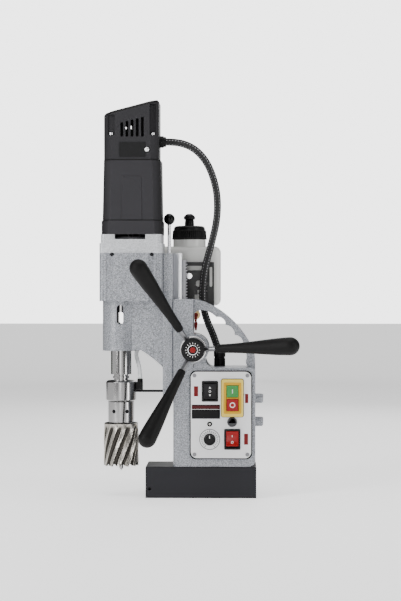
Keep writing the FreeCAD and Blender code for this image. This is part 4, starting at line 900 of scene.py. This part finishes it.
FEED_AT, MAGNET_AT = (14.0, 164.1), (48.2, 90.6)
feed_face, magnet_face = on_rocker(*FEED_AT, 0.0), on_rocker(*MAGNET_AT, -8.0)
feed_x, magnet_x, MARK_FRONT = FEED_AT[0], MAGNET_AT[0], PANEL_FRONT - 0.1
for name, cz, way in (("feed_up_mark", 169.9, 1), ("feed_down_mark", 158.1, -1)):
    triangle = [(feed_x - 1.8, cz - way * 1.4), (feed_x + 1.8, cz - way * 1.4), (feed_x, cz + way * 1.6)]
    plate(name, triangle, MARK_FRONT, 0.2, white_print, "feed_switch", bend=feed_face)
loop_plate("feed_off_mark", circle(feed_x, 164.0, 1.8), circle(feed_x, 164.0, 1.25), MARK_FRONT, 0.2,
           white_print, "feed_switch", bend=feed_face)
plate("magnet_on_mark", stroke(magnet_x, 94.6, 0.8, 3.0), MARK_FRONT, 0.2, white_print,
      "magnet_switch", bend=magnet_face)
loop_plate("magnet_off_mark", circle(magnet_x, 85.2, 1.9), circle(magnet_x, 85.2, 1.25), MARK_FRONT, 0.2,
           white_print, "magnet_switch", bend=magnet_face)

# ------------------------
# Start and stop box: a yellow moulding with a stepped face and a thin black seal, a green start button that
# sits low and a red stop button that stands proud.
yellow_material = moulded("yellow_moulding", (0.66, 0.50, 0.10), 0.4, 0.01)
deep_yellow = moulded("yellow_well", (0.50, 0.28, 0.015), 0.42, 0.01)
dress("start_stop_box", yellow_material, 0.8)
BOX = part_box("start_stop_box")
bx0, bx1, bz0, bz1 = BOX[0][0] / MM, BOX[1][0] / MM, BOX[0][2] / MM, BOX[1][2] / MM
BOX_FRONT = BOX[0][1] / MM
loop_plate("box_seal", rectangle(bx0 - 0.9, bx1 + 0.9, bz0 - 0.9, bz1 + 0.9, 3.2),
           rectangle(bx0 + 0.3, bx1 - 0.3, bz0 + 0.3, bz1 - 0.3, 2.2), PANEL_FRONT - 0.8, 0.8,
           rubber, "stand")
START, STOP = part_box("start_button"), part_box("stop_button")
wx0, wx1 = START[0][0] / MM - 0.5, START[1][0] / MM + 0.5
wz0, wz1 = STOP[0][2] / MM - 0.5, START[1][2] / MM + 0.5
loop_plate("button_well", rectangle(wx0 - 3.6, wx1 + 3.6, wz0 - 3.8, wz1 + 3.8, 1.6),
           rectangle(wx0, wx1, wz0, wz1, 0.6), BOX_FRONT - 1.0, 1.3, deep_yellow, "stand")
bar_z0, bar_z1 = STOP[1][2] / MM + 0.4, START[0][2] / MM - 0.4
plate("button_bar", rectangle(wx0 - 0.2, wx1 + 0.2, bar_z0, bar_z1), BOX_FRONT - 0.9, 1.2, deep_yellow,
      "stand")
green_material = enamel("green_button", (0.035, 0.20, 0.045), 0.28, 0.0)
red_button = enamel("red_button", (0.22, 0.0025, 0.003), 0.26, 0.0)
dress("start_button", green_material, 0.7)
dress("stop_button", red_button, 0.7)
stop_x, stop_z = middle(STOP, 0), middle(STOP, 2)
plate("start_mark", stroke(middle(START, 0), middle(START, 2), 1.0, 6.0), START[0][1] / MM - 0.12, 0.3,
      white_print, "start")
loop_plate("stop_mark", circle(stop_x, stop_z, 4.1), circle(stop_x, stop_z, 3.0), STOP[0][1] / MM - 0.12, 0.3,
           white_print, "stop")

# ------------------------
# Fuse holder with its slotted bayonet cap, and the black lamp with a clear centre.
fuse_grey = moulded("fuse_grey", (0.045, 0.045, 0.048), 0.4, 0.02)
dress("fuse_holder", black_material, 0.3)
dress("fuse_cap", fuse_grey, 0.6)
dress("indicator_lamp", gloss_black, 0.5)
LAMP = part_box("indicator_lamp")
lamp_at = (middle(LAMP, 0), LAMP[0][1] / MM + 0.3, middle(LAMP, 2))
lens = Paint("lamp_lens", (0.62, 0.60, 0.56), 0.12, Coat_Weight=0.6)
facet = lens.add("ShaderNodeTexVoronoi", {}, {"Vector": lens.place(), "Scale": 900.0})[0]
lens.bump(facet, 0.1 * MM, 0.5)
lens_material = lens.finish(Base_Color=lens.mix(facet, (0.50, 0.48, 0.45), (0.78, 0.76, 0.72)),
                            Roughness=0.1 + facet * 0.15)
lathe("lamp_lens", lamp_at, TOWARDS_FRONT, [(0, 1.7), (0.5, 1.65), (0.9, 1.3), (1.15, 0.7), (1.2, 0.1)],
      lens_material, 32, "stand")

# ------------------------
# Speed dial: a black knob with a fluted skirt and a white pointer line, over a printed scale of ticks.
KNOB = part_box("speed_knob")
knob_x, knob_z = middle(KNOB, 0), middle(KNOB, 2)
knob_front, knob_r = KNOB[0][1] / MM, (KNOB[1][0] - KNOB[0][0]) / 2 / MM
dress("potentiometer", black_material)
loop_plate("dial_ring", circle(knob_x, knob_z, 15.9, 64), circle(knob_x, knob_z, 15.0, 64),
           MARK_FRONT, 0.2, black_print, "stand")
DIAL_TICKS, FIRST_TICK, TICK_STEP = 21, 237, 14.7
for k in range(DIAL_TICKS):
    a = math.radians(FIRST_TICK - TICK_STEP * k)
    along, across = Vector((math.cos(a), math.sin(a))), Vector((-math.sin(a), math.cos(a)))
    inner, outer = 11.0, 14.4 if k % 5 == 0 else 13.2
    corners = [along * r + across * w
               for r, w in ((inner, -0.45), (outer, -0.45), (outer, 0.45), (inner, 0.45))]
    plate("dial_tick_%02d" % k, [(knob_x + c.x, knob_z + c.y) for c in corners], MARK_FRONT, 0.2,
          black_print, "stand")


KNOB_TALL, KNOB_FLUTES = 13.0, 24


def fluted(radius, depth=0.0):
    return lambda a: radius - depth * (0.5 - 0.5 * math.cos(a * KNOB_FLUTES)) ** 2


knob_rings = [(fluted(knob_r), 0.6), (fluted(knob_r), 3.0), (fluted(knob_r - 0.9), 3.3),
              (fluted(knob_r - 0.8, 0.7), 3.8), (fluted(knob_r - 1.1, 0.7), 12.2),
              (fluted(knob_r - 1.9, 0.3), KNOB_TALL), (fluted(knob_r - 2.6), KNOB_TALL),
              (fluted(knob_r - 3.0), 12.6), (fluted(0.3), 12.6)]
KNOB_STEPS = 192
points = [Vector((knob_x + r(a) * math.cos(a), knob_front + KNOB_TALL - h, knob_z + r(a) * math.sin(a))) * MM
          for r, h in knob_rings for a in [math.tau * k / KNOB_STEPS for k in range(KNOB_STEPS)]]
knob = sharpen(mesh_piece("knob_skirt", points, skin(len(knob_rings), KNOB_STEPS), phenolic), 40)
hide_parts("speed_knob")
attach(knob, "dial")
plate("knob_pointer", rectangle(knob_x - 0.6, knob_x + 0.6, knob_z + 2.5, knob_z + knob_r - 2.3),
      knob_front - 0.1, 0.5, white_print, "dial")

# ------------------------
# Circuit board behind the panel: green glass laminate with the rectifier and the speed control.
board = Paint("board_laminate", (0.02, 0.13, 0.05), 0.4)
track = board.between(0.45, 0.5, board.noise(220.0, 3.0))
board_material = board.finish(Base_Color=board.mix(track, (0.015, 0.10, 0.04), (0.05, 0.22, 0.09)),
                              Roughness=0.35 + track * 0.2)
dress("circuit_board", board_material)

# ------------------------
# Coolant tank: a blown bottle in milky polyethylene on a black powder-coated bracket. A ribbed black cap
# with a pull-up valve closes its neck, and a tap hangs under it.
milk = Paint("milky_polyethylene", (0.62, 0.62, 0.60), 0.34, Subsurface_Weight=0.25,
             Subsurface_Radius=(0.01, 0.01, 0.01), Coat_Weight=0.1)
flow = milk.noise(30.0, 3.0)
wall = milk.noise(140.0, 2.0)
milk.bump(wall, 0.12 * MM, 0.4)
milk_material = milk.finish(Base_Color=milk.mix(flow, (0.55, 0.55, 0.53), (0.68, 0.68, 0.66)),
                            Roughness=0.28 + wall * 0.14)
dress("coolant_tank", milk_material)
powder = Paint("black_powder_coat", (0.004, 0.004, 0.0043), 0.46)
pebble = powder.noise(1100.0, 2.0)
powder.bump(pebble, 0.08 * MM, 0.7)
powder_color = powder.mix(pebble, (0.0028, 0.0028, 0.003), (0.0065, 0.0065, 0.007))
powder_material = powder.finish(Base_Color=powder_color, Roughness=0.4 + pebble * 0.12)
dress("tank_bracket", powder_material, 0.35)
dress("valve_lever", red_material, 0.3)
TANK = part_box("coolant_tank")
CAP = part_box("tank_cap")
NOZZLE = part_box("tank_nozzle")
cap_axis = Vector(((CAP[0][0] + CAP[1][0]) / 2, (CAP[0][1] + CAP[1][1]) / 2, 0))
cap_high = CAP[1][2] / MM
SKIRT_LOW = TANK[1][2] / MM + 0.3
cap_r = (CAP[1][0] - CAP[0][0]) / 2 / MM


CAP_RIBS = 48


def ribbed(radius, height, depth=0):
    """Ring of the cap; a depth cuts the ribs of its grip."""
    return lambda a: (radius - depth * (0.5 + 0.5 * math.cos(a * CAP_RIBS)) ** 3, height)


cap_rings = [ribbed(cap_r - 1.6, SKIRT_LOW), ribbed(cap_r, SKIRT_LOW + 0.2), ribbed(cap_r, SKIRT_LOW + 2.4),
             ribbed(cap_r - 0.5, SKIRT_LOW + 2.9, 0.9), ribbed(cap_r - 1.1, SKIRT_LOW + 13.4, 0.9),
             ribbed(cap_r - 1.9, SKIRT_LOW + 14.6, 0.4), ribbed(cap_r - 2.9, SKIRT_LOW + 15.0)]
cap_rings += [ribbed(cap_r - 3.0 - 5 * (1 - math.cos(a)), SKIRT_LOW + 16.8 + 5 * math.sin(a))
              for a in [math.pi / 2 * k / 7 for k in range(8)]]
cap_rings += [ribbed(r, h) for r, h in ((9.5, SKIRT_LOW + 22.2), (7.6, SKIRT_LOW + 23.0),
                                        (7.3, cap_high - 1.0), (6.6, cap_high), (4.1, cap_high),
                                        (4.1, SKIRT_LOW + 12.0), (cap_r - 5.5, SKIRT_LOW + 11.5),
                                        (cap_r - 5.5, SKIRT_LOW))]
cap_material = moulded("cap_polypropylene", (0.0035, 0.0035, 0.0038), 0.38, 0.02)
cap = sharpen(ring_surface("ribbed_cap", cap_axis, cap_rings, 384, cap_material), 38)
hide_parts("tank_cap")
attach(cap, "bottle_cap")
head_low, head_top = cap_high + 0.2, NOZZLE[1][2] / MM
head_r = (NOZZLE[1][0] - NOZZLE[0][0]) / 2 / MM
stem_foot, STEM_R = NOZZLE[0][2] / MM, 3.7
nozzle_line = [(stem_foot, 3.2), (stem_foot + 0.6, STEM_R), (head_low - 0.1, STEM_R),
               (head_low, head_r - 1.2), (head_low + 0.8, head_r - 0.3), (head_low + 2.2, head_r),
               (head_low + 4.6, head_r - 0.2),
               (head_low + 6.4, head_r - 1.4), (head_low + 7.8, head_r - 3.2), (head_top - 0.5, head_r - 4.4),
               (head_top, head_r - 5.4), (head_top, 1.6), (head_top - 1.5, 1.5)]
nozzle = lathe("pull_nozzle", (cap_axis.x / MM, cap_axis.y / MM, 0), (0, 0, 1), nozzle_line, cap_material, 48,
               "nozzle", 40)
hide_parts("tank_nozzle")
